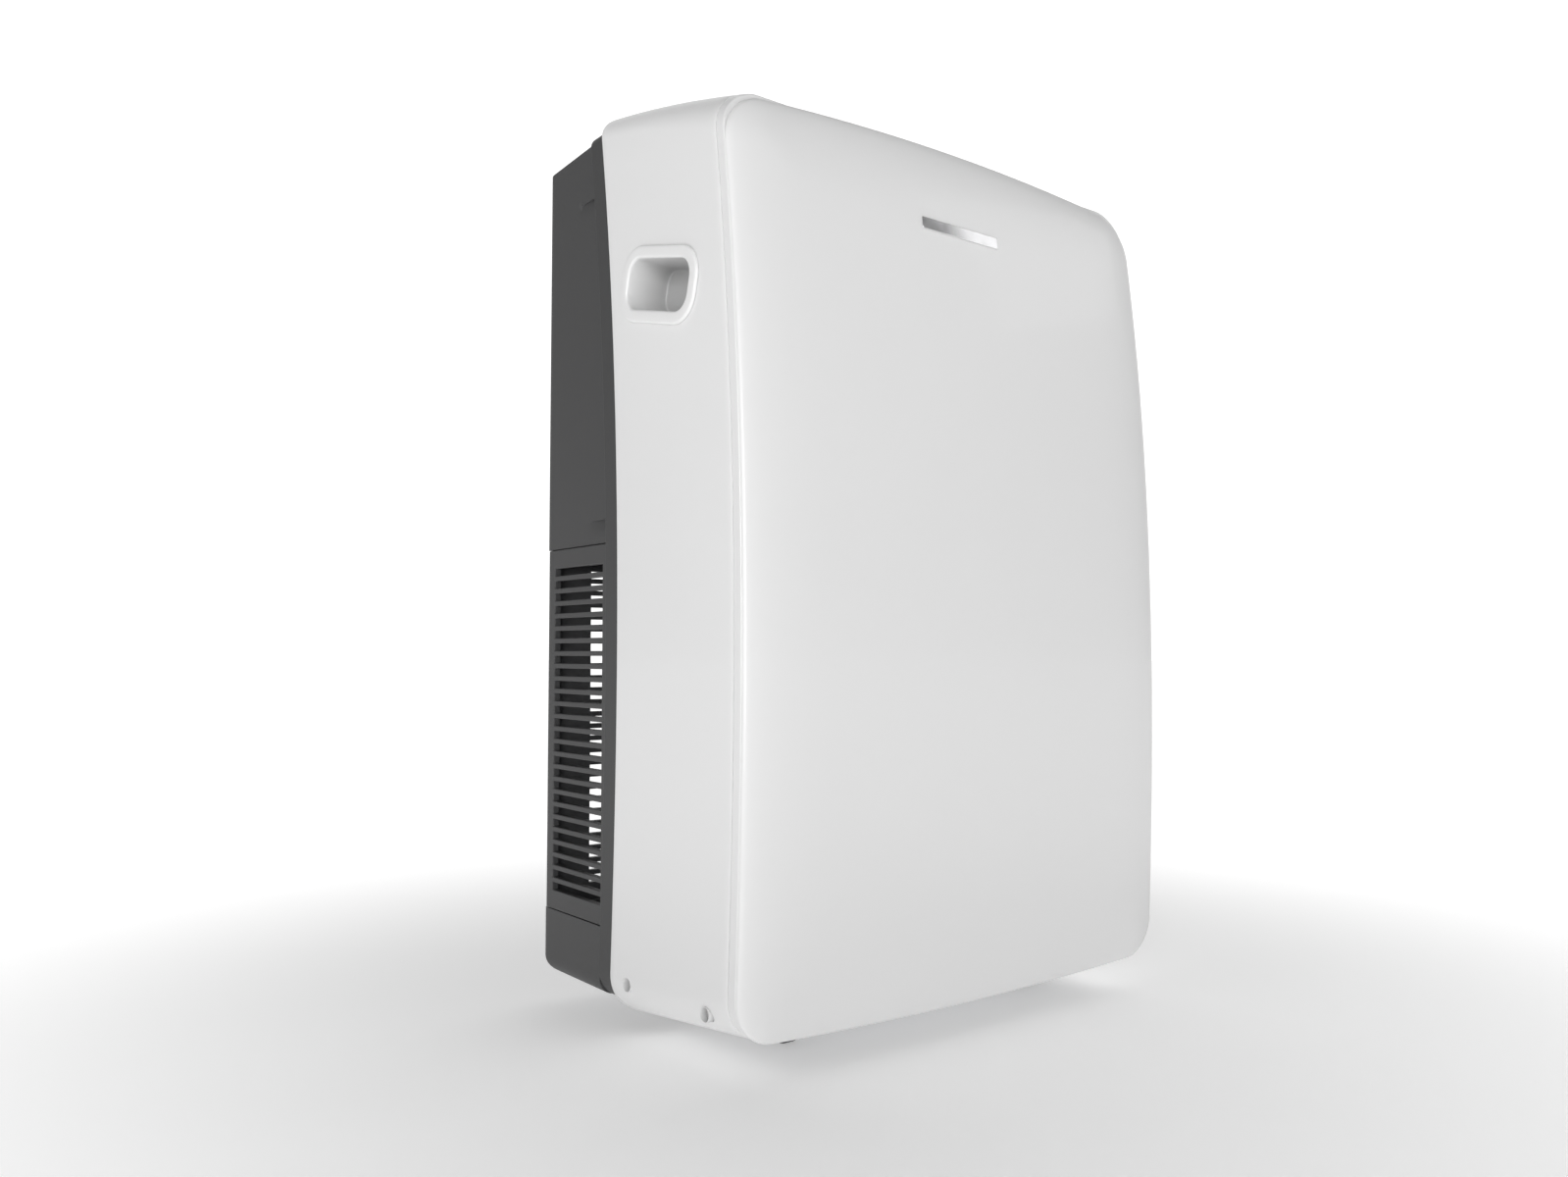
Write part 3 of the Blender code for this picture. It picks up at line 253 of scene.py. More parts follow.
CHROME = metal("bright_plate", (0.76, 0.76, 0.77), (0.84, 0.84, 0.85), 0.12, 0.02, depth=0.000002)
STEEL = metal("zinc_steel", (0.46, 0.47, 0.49), (0.64, 0.65, 0.67), 0.34, 0.004, (1, 1, 6))
COPPER = metal("copper_tube", (0.52, 0.22, 0.12), (0.80, 0.42, 0.26), 0.30, 0.012)
FIN = metal("coil_fin", (0.62, 0.64, 0.66), (0.78, 0.80, 0.82), 0.38, 0.006, (1, 1, 0.2))
SHEET = spangle()
ENAMEL = plastic("black_enamel", (0.018, 0.018, 0.020), 0.30, 0.0022, 0.00004, 0.20, 0.4)
RUBBER = plastic("black_rubber", (0.022, 0.022, 0.022), 0.78, 0.0009, 0.00006, 0.20)
print("metals, enamel and rubber ready")

# %% [markdown]
# ## Circuit board and filter cloth
# The board is green lacquer with copper tracks under it, drawn as a coarse brick pattern. The
# filter is an open weave of black nylon: two stripe waves crossed, with the holes cut by alpha.

# %% Board and weave
def board():
    made = Finish("circuit_board", coat_weight=0.3)
    values = {"Vector": made.metres, "Scale": 160.0, "Mortar Size": 0.06}
    tracks = made.node("ShaderNodeTexBrick", None, values, "Fac")
    made.set("Base Color", made.blend(tracks, (0.012, 0.11, 0.045), (0.05, 0.24, 0.10)))
    made.set("Roughness", 0.42 - 0.15 * tracks)
    made.bump(tracks, 0.00005)
    return made.material


def weave(pitch=0.0022):
    made = Finish("filter_weave", roughness=0.7)
    threads = []
    for letter in ("X", "Z"):
        turns = made.axis(letter) * (2 * math.pi / pitch)
        swing = made.node("ShaderNodeMath", {"operation": "SINE"}, {0: turns})
        threads.append(swing > 0.0)
    hole = threads[0] * threads[1]
    made.set("Base Color", made.blend(made.noise(0.01), (0.018, 0.018, 0.020), (0.035, 0.035, 0.038)))
    made.set("Alpha", 1 - hole)
    return made.material


BOARD, WEAVE = board(), weave()
print("board and weave ready")

# %% [markdown]
# ## Floor and light
# A white product on white needs light from several sides but not evenly: the front has to fall off
# from left to right, or its bow disappears. One big softbox shines along the corner between side
# and front, so both faces take the same light and the rounding between them takes the most. It has
# a grid that narrows its beam, or the floor right under it would throw light up at the case. A
# second, faint one is there only to be mirrored by the right half of the badge. The sky is dim in
# front and white behind the machine. The floor is a wide round sheet of pale paper. It glows more
# and more away from the machine, so that it melts into the white behind, and stays dimmer close by,
# so that it doesn't light the case from below and reads as a soft shadow. Seen from behind the
# machine, the dim half of the sky is a dark grey band above the floor.

# %% Sky, softboxes and floor
def sky(front=0.16, behind=1.25):
    world = bpy.data.worlds.new("studio_sky")
    bpy.context.scene.world = world
    world.use_nodes = True
    nodes = Nodes(world.node_tree)
    ground = world.node_tree.nodes["Background"]
    ground.inputs["Color"].default_value = (1.0, 1.0, 1.0, 1.0)
    ahead = (math.sin(HEADING), math.cos(HEADING), 0.0)
    place = nodes.node("ShaderNodeTexCoord", output="Generated")
    along = nodes.node("ShaderNodeVectorMath", {"operation": "DOT_PRODUCT"}, {0: place, 1: ahead}, "Value")
    span = {"Value": along, "From Min": 0.50, "From Max": 0.74, "To Min": front, "To Max": behind}
    nodes.feed(ground.inputs["Strength"], nodes.node("ShaderNodeMapRange", None, span))


def softbox(name, place, aim, size, power, spread=180.0):
    lamp = bpy.data.lights.new(name, "AREA")
    lamp.size = size
    lamp.energy = power
    lamp.spread = math.radians(spread)
    holder = bpy.data.objects.new(name, lamp)
    holder.location = place
    holder.rotation_euler = (Vector(aim) - Vector(place)).to_track_quat("-Z", "Y").to_euler()
    bpy.context.collection.objects.link(holder)


MIDDLE = (0.0, 0.0, 0.30)
sky()
softbox("key_softbox", (-2.6, -2.4, 0.60), MIDDLE, 1.4, 11.4, 70.0)
softbox("badge_softbox", (2.32, -1.49, 1.90), (0.0, -0.12, 0.53), 0.8, 2.6)
bpy.context.scene.view_settings.view_transform = "Standard"


def floor(radius=40.0, dim=0.20, white=0.95):
    bm = bmesh.new()
    bmesh.ops.create_circle(bm, cap_ends=True, segments=96, radius=radius)
    mesh = bpy.data.meshes.new("studio_floor")
    bm.to_mesh(mesh)
    bm.free()
    paper = Finish("studio_paper", roughness=0.9, emission_strength=0.80)
    away = paper.node("ShaderNodeVectorMath", {"operation": "LENGTH"}, {0: paper.metres}, "Value")
    span = {"Value": away, "From Min": dim, "From Max": white}
    glow = paper.node("ShaderNodeMapRange", {"interpolation_type": "SMOOTHSTEP"}, span)
    paper.set("Emission Color", paper.blend(glow, (0.42, 0.42, 0.42), (1.0, 1.0, 1.0)))
    paper.set("Base Color", paper.blend(paper.noise(0.5), (0.83, 0.83, 0.83), (0.85, 0.85, 0.85)))
    mesh.materials.append(paper.material)
    sheet = bpy.data.objects.new("studio_floor", mesh)
    bpy.context.collection.objects.link(sheet)
    sheet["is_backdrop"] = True


floor()
print("floor and light ready")

# %% [markdown]
# ## From points to pieces
# Every piece ends in the same way: merge twins, face the normals outwards, shade smooth, break the
# shading at real edges, and round those edges with a Bevel. A thin round on an edge is what makes
# moulded plastic look real, because it catches a line of light.

# %% Piece maker
def piece(name, bm, look, body, stands_for=(), edge=0.0004, sharp=32):
    """Turn a bmesh into a finished piece that moves with a body."""
    bmesh.ops.remove_doubles(bm, verts=bm.verts, dist=0.00001)
    bmesh.ops.recalc_face_normals(bm, faces=bm.faces)
    mesh = bpy.data.meshes.new(name)
    bm.to_mesh(mesh)
    bm.free()
    mesh.materials.append(look)
    mesh.shade_smooth()
    mesh.set_sharp_from_angle(angle=math.radians(sharp))
    made = bpy.data.objects.new(name, mesh)
    bpy.context.collection.objects.link(made)
    if edge:
        bevel = made.modifiers.new("edge", "BEVEL")
        bevel.width = edge
        bevel.segments = 2
        bevel.limit_method = "ANGLE"
        bevel.angle_limit = math.radians(sharp + 8)
    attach(made, body)
    if stands_for:
        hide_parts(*stands_for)
    return made


def cut(target, tool):
    """Cut a tool out of a piece for good, behind its Bevel, and throw the tool away."""
    knife = target.modifiers.new("cut", "BOOLEAN")
    knife.object = tool
    knife.solver = "EXACT"
    graph = bpy.context.evaluated_depsgraph_get()
    target.data = bpy.data.meshes.new_from_object(target.evaluated_get(graph))
    target.modifiers.clear()
    target.data.set_sharp_from_angle(angle=math.radians(32))
    bpy.data.objects.remove(tool)


def tool_from(rings):
    """A cutter: a closed solid that belongs to nothing."""
    bm = bmesh.new()
    loft(bm, rings)
    bmesh.ops.recalc_face_normals(bm, faces=bm.faces)
    mesh = bpy.data.meshes.new("cutter")
    bm.to_mesh(mesh)
    bm.free()
    made = bpy.data.objects.new("cutter", mesh)
    bpy.context.collection.objects.link(made)
    return made


def dress(look, *nodes):
    """Give frame nodes whose shape is already right a better finish."""
    for node in nodes:
        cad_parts[node].data.materials.clear()
        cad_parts[node].data.materials.append(look)


# %% [markdown]
# ## Four ways to lay out points
# A loft bridges rings of points. A turned piece is a loft of circles. A sheet is a two-sided wall
# over a grid, whose cells may be open. A run is a round bar along a curve. Most of this machine is
# one of the four.

# %% Layout helpers
def loft(bm, rings, closed=False):
    rows = [[bm.verts.new(point) for point in points] for points in rings]
    count = len(rows[0])
    pairs = list(zip(rows, rows[1:]))
    if closed:
        pairs.append((rows[-1], rows[0]))
    for low, high in pairs:
        for i in range(count):
            j = (i + 1) % count
            bm.faces.new((low[i], low[j], high[j], high[i]))
    if not closed:
        bm.faces.new(rows[0])
        bm.faces.new(rows[-1])


def circle(centre, radius, axis, sides=48):
    points = []
    for k in range(sides):
        turn = 2 * math.pi * k / sides
        c, s = radius * math.cos(turn), radius * math.sin(turn)
        offset = {"x": (0, c, s), "y": (c, 0, s), "z": (c, s, 0)}[axis]
        points.append(tuple(p + q for p, q in zip(centre, offset)))
    return points


def turn_into(bm, centre, profile, axis, closed=False, sides=48):
    """profile holds (radius, distance along the axis)."""
    rings = []
    for radius, along in profile:
        middle = Vector(centre)
        middle["xyz".index(axis)] += along
        rings.append(circle(middle, radius, axis, sides))
    loft(bm, rings, closed)


def sheet(columns, rows, place, wrap=False, is_open=None):
    """A wall over a grid. place(i, j, side) gives a corner; open cells are holes."""
    bm = bmesh.new()
    corners = {}
    across = columns if wrap else columns - 1

    def corner(i, j, side):
        key = (i % columns if wrap else i, j, side)
        if key not in corners:
            corners[key] = bm.verts.new(place(*key))
        return corners[key]

    def solid(i, j):
        i = i % across if wrap else i
        return 0 <= i < across and 0 <= j < rows - 1 and not (is_open and is_open(i, j))

    for i in range(across):
        for j in range(rows - 1):
            if not solid(i, j):
                continue
            square = ((i, j), (i + 1, j), (i + 1, j + 1), (i, j + 1))
            beside = ((i, j - 1), (i + 1, j), (i, j + 1), (i - 1, j))
            bm.faces.new([corner(a, b, 0) for a, b in square])
            bm.faces.new([corner(a, b, 1) for a, b in reversed(square)])
            for k in range(4):
                if not solid(*beside[k]):
                    p, q = square[k], square[(k + 1) % 4]
                    bm.faces.new((corner(*p, 0), corner(*p, 1), corner(*q, 1), corner(*q, 0)))
    return bm


def smooth_line(points, fineness):
    """A smooth curve through points (Catmull-Rom)."""
    held = [Vector(p) for p in points]
    held = [2 * held[0] - held[1]] + held + [2 * held[-1] - held[-2]]
    made = []
    for a, b, c, d in zip(held, held[1:], held[2:], held[3:]):
        for k in range(fineness):
            t = k / fineness
            made.append(0.5 * (2 * b + (c - a) * t + (2 * a - 5 * b + 4 * c - d) * t * t
                               + (3 * b - a - 3 * c + d) * t ** 3))
    return made + [held[-2]]


def run(name, points, radius, look, body, stands_for=(), fineness=6):
    """A round bar or tube along a smooth curve through world points."""
    curve = bpy.data.curves.new(name, "CURVE")
    curve.dimensions = "3D"
    curve.bevel_depth = radius
    curve.bevel_resolution = 4
    curve.use_fill_caps = True
    line = smooth_line(points, fineness)
    spline = curve.splines.new("POLY")
    spline.points.add(len(line) - 1)
    for target, point in zip(spline.points, line):
        target.co = (*point, 1.0)
    curve.materials.append(look)
    made = bpy.data.objects.new(name, curve)
    bpy.context.collection.objects.link(made)
    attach(made, body)
    if stands_for:
        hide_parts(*stands_for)
    return made


def steps(low, high, count):
    """Evenly spaced values from low to high."""
    return [low + (high - low) * k / count for k in range(count + 1)]


def rounded_rect(width, height, radius, count=9):
    points = []
    for sx, sy, start in ((1, 1, 0), (-1, 1, 90), (-1, -1, 180), (1, -1, 270)):
        for k in range(count + 1):
            a = math.radians(start + 90 * k / count)
            points.append((sx * (width / 2 - radius) + radius * math.cos(a),
                           sy * (height / 2 - radius) + radius * math.sin(a)))
    return points


def block(x, y, z, radius=0.002, around="z", edge_rings=3):
    """Rings of a block whose upright corners and long edges are rounded."""
    spans = {"x": x, "y": y, "z": z}
    first, second = [letter for letter in "xyz" if letter != around]
    (a0, a1), (b0, b1), (c0, c1) = spans[first], spans[second], spans[around]
    rings = []
    for end, sign in ((c0, 1), (c1, -1)):
        part = []
        for k in range(edge_rings + 1):
            a = math.pi / 2 * k / edge_rings
            inset, along = radius * (1 - math.sin(a)), radius * (1 - math.cos(a))
            points = []
            corner = radius * 1.001 - inset * 0.999
            for p, q in rounded_rect(a1 - a0 - 2 * inset, b1 - b0 - 2 * inset, corner, 4):
                place = {first: (a0 + a1) / 2 + p, second: (b0 + b1) / 2 + q, around: end + sign * along}
                points.append((place["x"], place["y"], place["z"]))
            part.append(points)
        rings += part if sign == 1 else part[::-1]
    return rings


def solid_block(name, x, y, z, look, body, slot, stands_for=(), radius=0.002, around="z"):
    bm = bmesh.new()
    loft(bm, block(x, y, z, radius, around))
    return piece(name, bm, look, body, stands_for, edge=0.0)


print("layout helpers ready")

# %% [markdown]
# ## The rules of the case
# The case is furthest forward at a quarter of a metre up and leans back above and below. Everything
# on it follows that one curve, so each section is its outline plus the lean at that height. "Back"
# means distance behind the front-most plane.

# %% Case rules
DEPTH = cad_high.y - cad_low.y
HALF_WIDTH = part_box("left_side_panel")[0].x * -1
FRAME_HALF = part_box("rear_frame")[1].x
WALL, GAP = 0.0025, 0.0003
BOW_HEIGHT, BOW, BOW_TWIST = 0.250, 0.155, 0.120
TOP_START, TOP_HEIGHT, TOP_SLOPE, TOP_BEND, TOP_ARCH = 0.0254, 0.587, 0.280, 0.528, 0.005
BOTTOM_HEIGHT, BOTTOM_SLOPE = 0.0250, 0.080
HIGH, LOW = 0.60, 0.02
PANEL_EDGE, GROOVE, WHITE_BACK, FRAME_BACK = 0.0090, 0.0170, 0.1456, 0.1731
SIDE_SEAM = 0.150
SEAM_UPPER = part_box("rear_upper_cover")[0].z - GAP
SEAM_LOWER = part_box("intake_grille")[0].z - GAP
REAR_HALF_FRONT, REAR_HALF = 0.1848, 0.1812
REAR_BOTTOM, REAR_BOTTOM_R = 0.0185, 0.012
REAR_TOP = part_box("rear_upper_cover")[1].z


def y_of(back):
    return cad_low.y + back


def bow(z):
    """How far the case leans back at a height."""
    t = z - BOW_HEIGHT
    return BOW * t * t + BOW_TWIST * t ** 3


def top_line(back):
    s = back - TOP_START
    return TOP_HEIGHT + TOP_SLOPE * s - TOP_BEND * s * s


def white_top(base):
    return top_line(base + bow(HIGH))


def white_bottom(base):
    return BOTTOM_HEIGHT - BOTTOM_SLOPE * (base + bow(LOW))


def side_r_top(base):
    """Rounding between side and top; it tightens to the rear."""
    return 0.030 - 0.012 * (base - PANEL_EDGE) / (WHITE_BACK - PANEL_EDGE)


def half_outline(half, top, bottom, r_top, r_bottom, inset, seam, arc=12, side=26):
    """Left half of a section: top seam, over the side, to the bottom seam."""
    points = [(-seam, top - inset)]
    for k in range(arc + 1):
        a = math.pi / 2 * k / arc
        r = r_top - inset
        points.append((-half + r_top - r * math.sin(a), top - r_top + r * math.cos(a)))
    high, low = top - r_top, bottom + r_bottom
    for k in range(1, side):
        points.append((-half + inset, high + (low - high) * k / side))
    for k in range(arc + 1):
        a = math.pi / 2 * k / arc
        r = r_bottom - inset
        points.append((-half + r_bottom - r * math.cos(a), low - r * math.sin(a)))
    points.append((-seam, bottom + inset))
    return points


def full_outline(half, top, bottom, r_top, r_bottom, inset):
    left = half_outline(half, top, bottom, r_top, r_bottom, inset, 0.0)
    return left + [(-x, z) for x, z in reversed(left[1:-1])]


OUTLINE_POINTS = len(full_outline(1, 2, 0, 0.1, 0.1, 0))
SIDE_R_BOTTOM = 0.028
print("case is", round(DEPTH, 4), "m deep and", round(2 * HALF_WIDTH, 4), "m wide over the white sides")

# %% [markdown]
# ## Front panel
# The front is one large pillow: nearly flat in the middle, rolling back along its edge. Modelled
# from a formula it stays free of bumps, which a polished white surface would show at once. Rows of
# points crowd towards the edge, where it bends, and the corners are drawn in to a round outline.

# %% Front panel
PANEL_TOP, PANEL_BOTTOM = 0.584, 0.0234
PANEL_ARCH, PANEL_SAG = 0.010, 0.005
PANEL_R_TOP, PANEL_R_BOTTOM = 0.031, 0.027
PILLOW, PILLOW_WIDTH, PILLOW_POWER, CROWN = 0.008, 0.055, 2.2, 0.001
PANEL_MIDDLE = (PANEL_TOP + PANEL_BOTTOM) / 2
PANEL_TALL = (PANEL_TOP - PANEL_BOTTOM) / 2


def panel_point(u, v, inset=0.0, sink=0.0):
    x, z = u * HALF_WIDTH, v * PANEL_TALL
    radius = PANEL_R_TOP if v > 0 else PANEL_R_BOTTOM
    over_x, over_z = abs(x) - (HALF_WIDTH - radius), abs(z) - (PANEL_TALL - radius)
    depth_in = min(HALF_WIDTH - abs(x), PANEL_TALL - abs(z))
    if over_x > 0 and over_z > 0:
        square = max(over_x, over_z)
        share = square / math.hypot(over_x, over_z)
        x = math.copysign(HALF_WIDTH - radius + over_x * share, x)
        z = math.copysign(PANEL_TALL - radius + over_z * share, z)
        depth_in = radius - square
    across, up = 1 - (x / HALF_WIDTH) ** 2, z / PANEL_TALL
    height = PANEL_MIDDLE + z + across * (PANEL_ARCH * (up + 1) / 2 - PANEL_SAG * (1 - up) / 2)
    edge = min(1.0, max(0.0, 1 - depth_in / PILLOW_WIDTH))
    rise = PILLOW * (1 - edge ** PILLOW_POWER) ** (1 / PILLOW_POWER) + CROWN * across * (1 - edge)
    back = PANEL_EDGE + bow(height) - rise
    if sink:
        x *= 1 - inset / HALF_WIDTH
        height = PANEL_MIDDLE + (height - PANEL_MIDDLE) * (1 - inset / PANEL_TALL)
        back = min(back + sink, PANEL_EDGE + bow(height))
    return (x, y_of(back), height)


def crowded(count, ends):
    """Values from -1 to 1 that crowd towards both ends."""
    line = [2 * k / (count - 1) - 1 for k in range(count)]
    return [(1 - ends) * t + ends * math.sin(t * math.pi / 2) for t in line]


across, up = crowded(81, 0.90), crowded(111, 0.90)
bm = sheet(len(across), len(up), lambda i, j, side: panel_point(across[i], up[j], WALL * side, WALL * side))
piece("front_skin", bm, WHITE, "case", ["front_panel"], 0.0005)
print("front panel has", len(across) * len(up), "points on its face")

# %% [markdown]
# ## Badge bar
# Where a maker puts a name there is a plain bright bar. It is pressed from thin plated strip.

# %% Badge bar
low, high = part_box("badge_bar")
bar_xs = steps(low.x, high.x, 12)
bar_zs = steps(low.z, high.z, 2)


def bar_point(i, j, side):
    v = (bar_zs[j] - PANEL_MIDDLE - 0.009) / PANEL_TALL
    x, y, _ = panel_point(bar_xs[i] / HALF_WIDTH, v)
    return (x, y - GAP - (0.0007 if side == 0 else 0.0), bar_zs[j])


piece("badge_strip", sheet(13, 3, bar_point), CHROME, "case", ["badge_bar"], 0.0002)
print("badge bar is", round(high.x - low.x, 3), "m long")

# %% [markdown]
# ## Front frame
# A narrow frame carries the panel. It shows as a band between panel and sides, ended by a groove
# whose rounded lips catch a bright line. A ring of section outlines makes it.

# %% Front frame
def frame_band(i, j, side):
    base = steps(PANEL_EDGE + GAP, GROOVE - GAP, 2)[j]
    outline = full_outline(
        HALF_WIDTH, white_top(base), white_bottom(base), side_r_top(base), SIDE_R_BOTTOM, 0.012 * side)
    x, z = outline[i]
    return (x, y_of(base + bow(z)), z)


bm = sheet(OUTLINE_POINTS, 3, frame_band, wrap=True)
piece("front_band", bm, WHITE, "case", ["front_frame"], 0.0007)
print("front frame has", OUTLINE_POINTS, "points round it")

# %% [markdown]
# ## White sides
# Each side is one shell that wraps from a seam on top, over the flank, to a seam underneath. Its
# rear edge rolls forward at both ends. Its rim is rounded first, and only then are the holes for
# the handle and the screws cut, so they can't disturb it. On the right the bucket needs a doorway.

# %% White sides
REAR_CORNER, REAR_CORNER_TOP, SECTIONS = 0.016, (0.008, 0.014), 25
HANDLE_BACK, HANDLE_HEIGHT, HANDLE_TILT = 0.0970, 0.4813, math.radians(13.3)
HANDLE_SIZE, HANDLE_HOLE = (0.0876, 0.0495, 0.0200), 0.0059
SCREW_BACKS, SCREW_HEIGHT = (0.045, 0.131), 0.0372
SIDE_POINTS = len(half_outline(1, 2, 0, 0.1, 0.1, 0, 0.5))


def side_edge(z, top, bottom):
    """Rear edge of a side, drawn forward round its corners."""
    deep, tall = REAR_CORNER_TOP
    over = (z - (top - tall)) / tall
    if over <= 0:
        deep = REAR_CORNER
        over = (bottom + REAR_CORNER - z) / REAR_CORNER
    over = min(max(over, 0.0), 1.0)
    return WHITE_BACK - GAP - deep * (1 - math.sqrt(1 - over * over))


def side_point(i, j, side, sign):
    start, share = GROOVE + GAP, j / (SECTIONS - 1)
    base = start + (WHITE_BACK - start) * share
    for _ in range(3):
        top, bottom = white_top(base), white_bottom(base)
        rules = (HALF_WIDTH, top, bottom, side_r_top(base), SIDE_R_BOTTOM)
        x, z = half_outline(*rules, WALL * side, SIDE_SEAM)[i]
        outer = half_outline(*rules, 0.0, SIDE_SEAM)[i][1]
        base = start + (side_edge(outer, top, bottom) - start) * share
    return (sign * x, y_of(base + bow(z)), z)


def handle_ring(inset, proud, sign):
    length, height, radius = HANDLE_SIZE
    points = []
    for a, b in rounded_rect(length - 2 * inset, height - 2 * inset, radius - inset, 12):
        back = HANDLE_BACK + a * math.cos(HANDLE_TILT) - b * math.sin(HANDLE_TILT)
        z = HANDLE_HEIGHT + a * math.sin(HANDLE_TILT) + b * math.cos(HANDLE_TILT)
        points.append((-sign * (HALF_WIDTH + proud), y_of(back), z))
    return points


def round_tool(centre, radius, axis, reach):
    ends = []
    for along in (-reach, reach):
        middle = Vector(centre)
        middle["xyz".index(axis)] += along
        ends.append(circle(middle, radius, axis, 32))
    return tool_from(ends)


def box_tool(x, y, z):
    return tool_from([[(x[0], y[0], h), (x[1], y[0], h), (x[1], y[1], h), (x[0], y[1], h)] for h in z])


skins = {}
for label, sign in (("left", 1), ("right", -1)):
    bm = sheet(SIDE_POINTS, SECTIONS, lambda i, j, side: side_point(i, j, side, sign))
    skin = piece(label + "_skin", bm, WHITE, "case", [label + "_side_panel"], 0.0007)
    cut(skin, tool_from([handle_ring(HANDLE_HOLE, deep, sign) for deep in (0.01, -0.01)]))
    for back in SCREW_BACKS:
        cut(skin, round_tool((-sign * HALF_WIDTH, y_of(back), SCREW_HEIGHT), 0.0048, "x", 0.01))
    skins[label] = skin

low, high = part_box("bucket_face")
DOOR_CLEAR = 0.0005
cut(skins["right"], box_tool((0.150, 0.210), (low.y - DOOR_CLEAR, high.y + DOOR_CLEAR),
                             (low.z - DOOR_CLEAR, high.z + DOOR_CLEAR)))
print("two sides, each", SIDE_POINTS, "by", SECTIONS, "points")

# %% [markdown]
# ## Handles and screws
# The handle is a moulded pocket with a raised, rounded rim. Its profile is drawn once, from the
# middle of the floor up the wall and over the rim, and swept round a tilted rounded rectangle. Low
# on each side two screws sit in small recesses.

# %% Handles and screws
def fillet(centre, radius, start, end, count=5):
    """Points of a small arc in the profile, from one angle in degrees to another."""
    angles = [math.radians(start + (end - start) * k / count) for k in range(count + 1)]
    return [(centre[0] + radius * math.cos(a), centre[1] + radius * math.sin(a)) for a in angles]


INSIDE = [(0.0185, -0.0282), (0.0128, -0.0281)]
INSIDE += fillet((0.0117, -0.0266), 0.0015, 270, 183)
INSIDE += [(0.0092, -0.0130), (0.0084, -0.0012)]
INSIDE += fillet((0.0066, 0.0004), 0.0018, 0, 90)
INSIDE += fillet((0.0018, 0.0004), 0.0018, 90, 180)
OUTSIDE = ((0.0062, GAP), (0.0062, -0.0285), (0.0115, -0.0303), (0.0180, -0.0305))

for label, sign in (("left", 1), ("right", -1)):
    rings = [handle_ring(inset, proud, sign) for inset, proud in INSIDE + list(OUTSIDE)]
    bm = bmesh.new()
    loft(bm, rings)
    piece(label + "_pocket", bm, POCKET_WHITE, "case", [label + "_handle_cup"], 0.0, 40)

HEAD = ((0.0004, 0.0012), (0.0009, 0.0011), (0.0010, 0.0003), (0.0028, 0.0001), (0.0034, 0.0004),
        (0.0036, 0.0009), (0.0036, 0.0028), (0.0014, 0.0028), (0.0014, 0.0200), (0.0003, 0.0212))
RECESS = ((0.0047, 0.0004), (0.0047, 0.0046), (0.0038, 0.0046), (0.0040, 0.0010), (0.0043, 0.0003))
for label, sign in (("left", -1), ("right", 1)):
    recess = bmesh.new()
    for end, back in zip(("front", "rear"), SCREW_BACKS):
        bm = bmesh.new()
        head_at = (sign * (HALF_WIDTH - 0.004), y_of(back), SCREW_HEIGHT)
        turn_into(bm, head_at, [(r, -sign * along) for r, along in HEAD], "x", sides=32)
        tag = "%s_%s" % (label, end)
        piece("screw_head_" + tag, bm, RECESS_WHITE, "case", ["screw_" + tag], 0.0)
        mouth = (sign * HALF_WIDTH, y_of(back), SCREW_HEIGHT)
        turn_into(recess, mouth, [(r, -sign * along) for r, along in RECESS], "x", True, 32)
    piece(label + "_screw_recesses", recess, RECESS_WHITE, "case", (), 0.0)
print("two handle pockets and four screws")

# %% [markdown]
# ## Top
# The top slopes up to the rear and arches a little towards the front. We give a surface point by its
# distance along and across, plus a lift along the normal, and every top piece uses that one rule. A
# grid whose open cells are named by position gives the panel, its two openings and the slats.

# %% Top panel and outlet grille
FASCIA_X, FASCIA_BACK = 0.112, (0.0260, 0.0610)
OUTLET_X, OUTLET_BACK = 0.126, (0.0700, 0.1180)


def top_point(x, base, lift=0.0):
    fade = 1 - min(1.0, max(0.0, (base - GROOVE) / (WHITE_BACK - GROOVE)))
    arch = TOP_ARCH * fade * 0.5 * (1 + math.cos(math.pi * x / SIDE_SEAM)) if abs(x) < SIDE_SEAM else 0.0
    z = white_top(base) + arch
    slope = TOP_SLOPE - 2 * TOP_BEND * (base + bow(HIGH) - TOP_START)
    size = math.hypot(1, slope)
    return (x, y_of(base + bow(z)) - slope / size * lift, z + lift / size)


def filled(keys, most):
    """Values through every key, none further apart than most."""
    line = [keys[0]]
    for a, b in zip(keys, keys[1:]):
        line += steps(a, b, max(1, math.ceil((b - a) / most)))[1:]
    return line


def inside(value, span):
    return span[0] < value < span[1]


def top_sheet(xs, bases, lifts, holes=()):
    def is_open(i, j):
        x, base = (xs[i] + xs[i + 1]) / 2, (bases[j] + bases[j + 1]) / 2
        return any(inside(x, across) and inside(base, along) for across, along in holes)

    def corner(i, j, side):
        return top_point(xs[i], bases[j], lifts[side])

    return sheet(len(xs), len(bases), corner, False, is_open)


seam = SIDE_SEAM - GAP
xs = filled([-seam, -OUTLET_X, -FASCIA_X, FASCIA_X, OUTLET_X, seam], 0.012)
bases = filled([GROOVE + GAP, *FASCIA_BACK, *OUTLET_BACK, WHITE_BACK - REAR_CORNER_TOP[0] - GAP], 0.008)
openings = [((-FASCIA_X, FASCIA_X), FASCIA_BACK), ((-OUTLET_X, OUTLET_X), OUTLET_BACK)]
bm = top_sheet(xs, bases, (0.0, -WALL), openings)
piece("top_skin", bm, WHITE, "case", ["top_panel"], 0.0006)

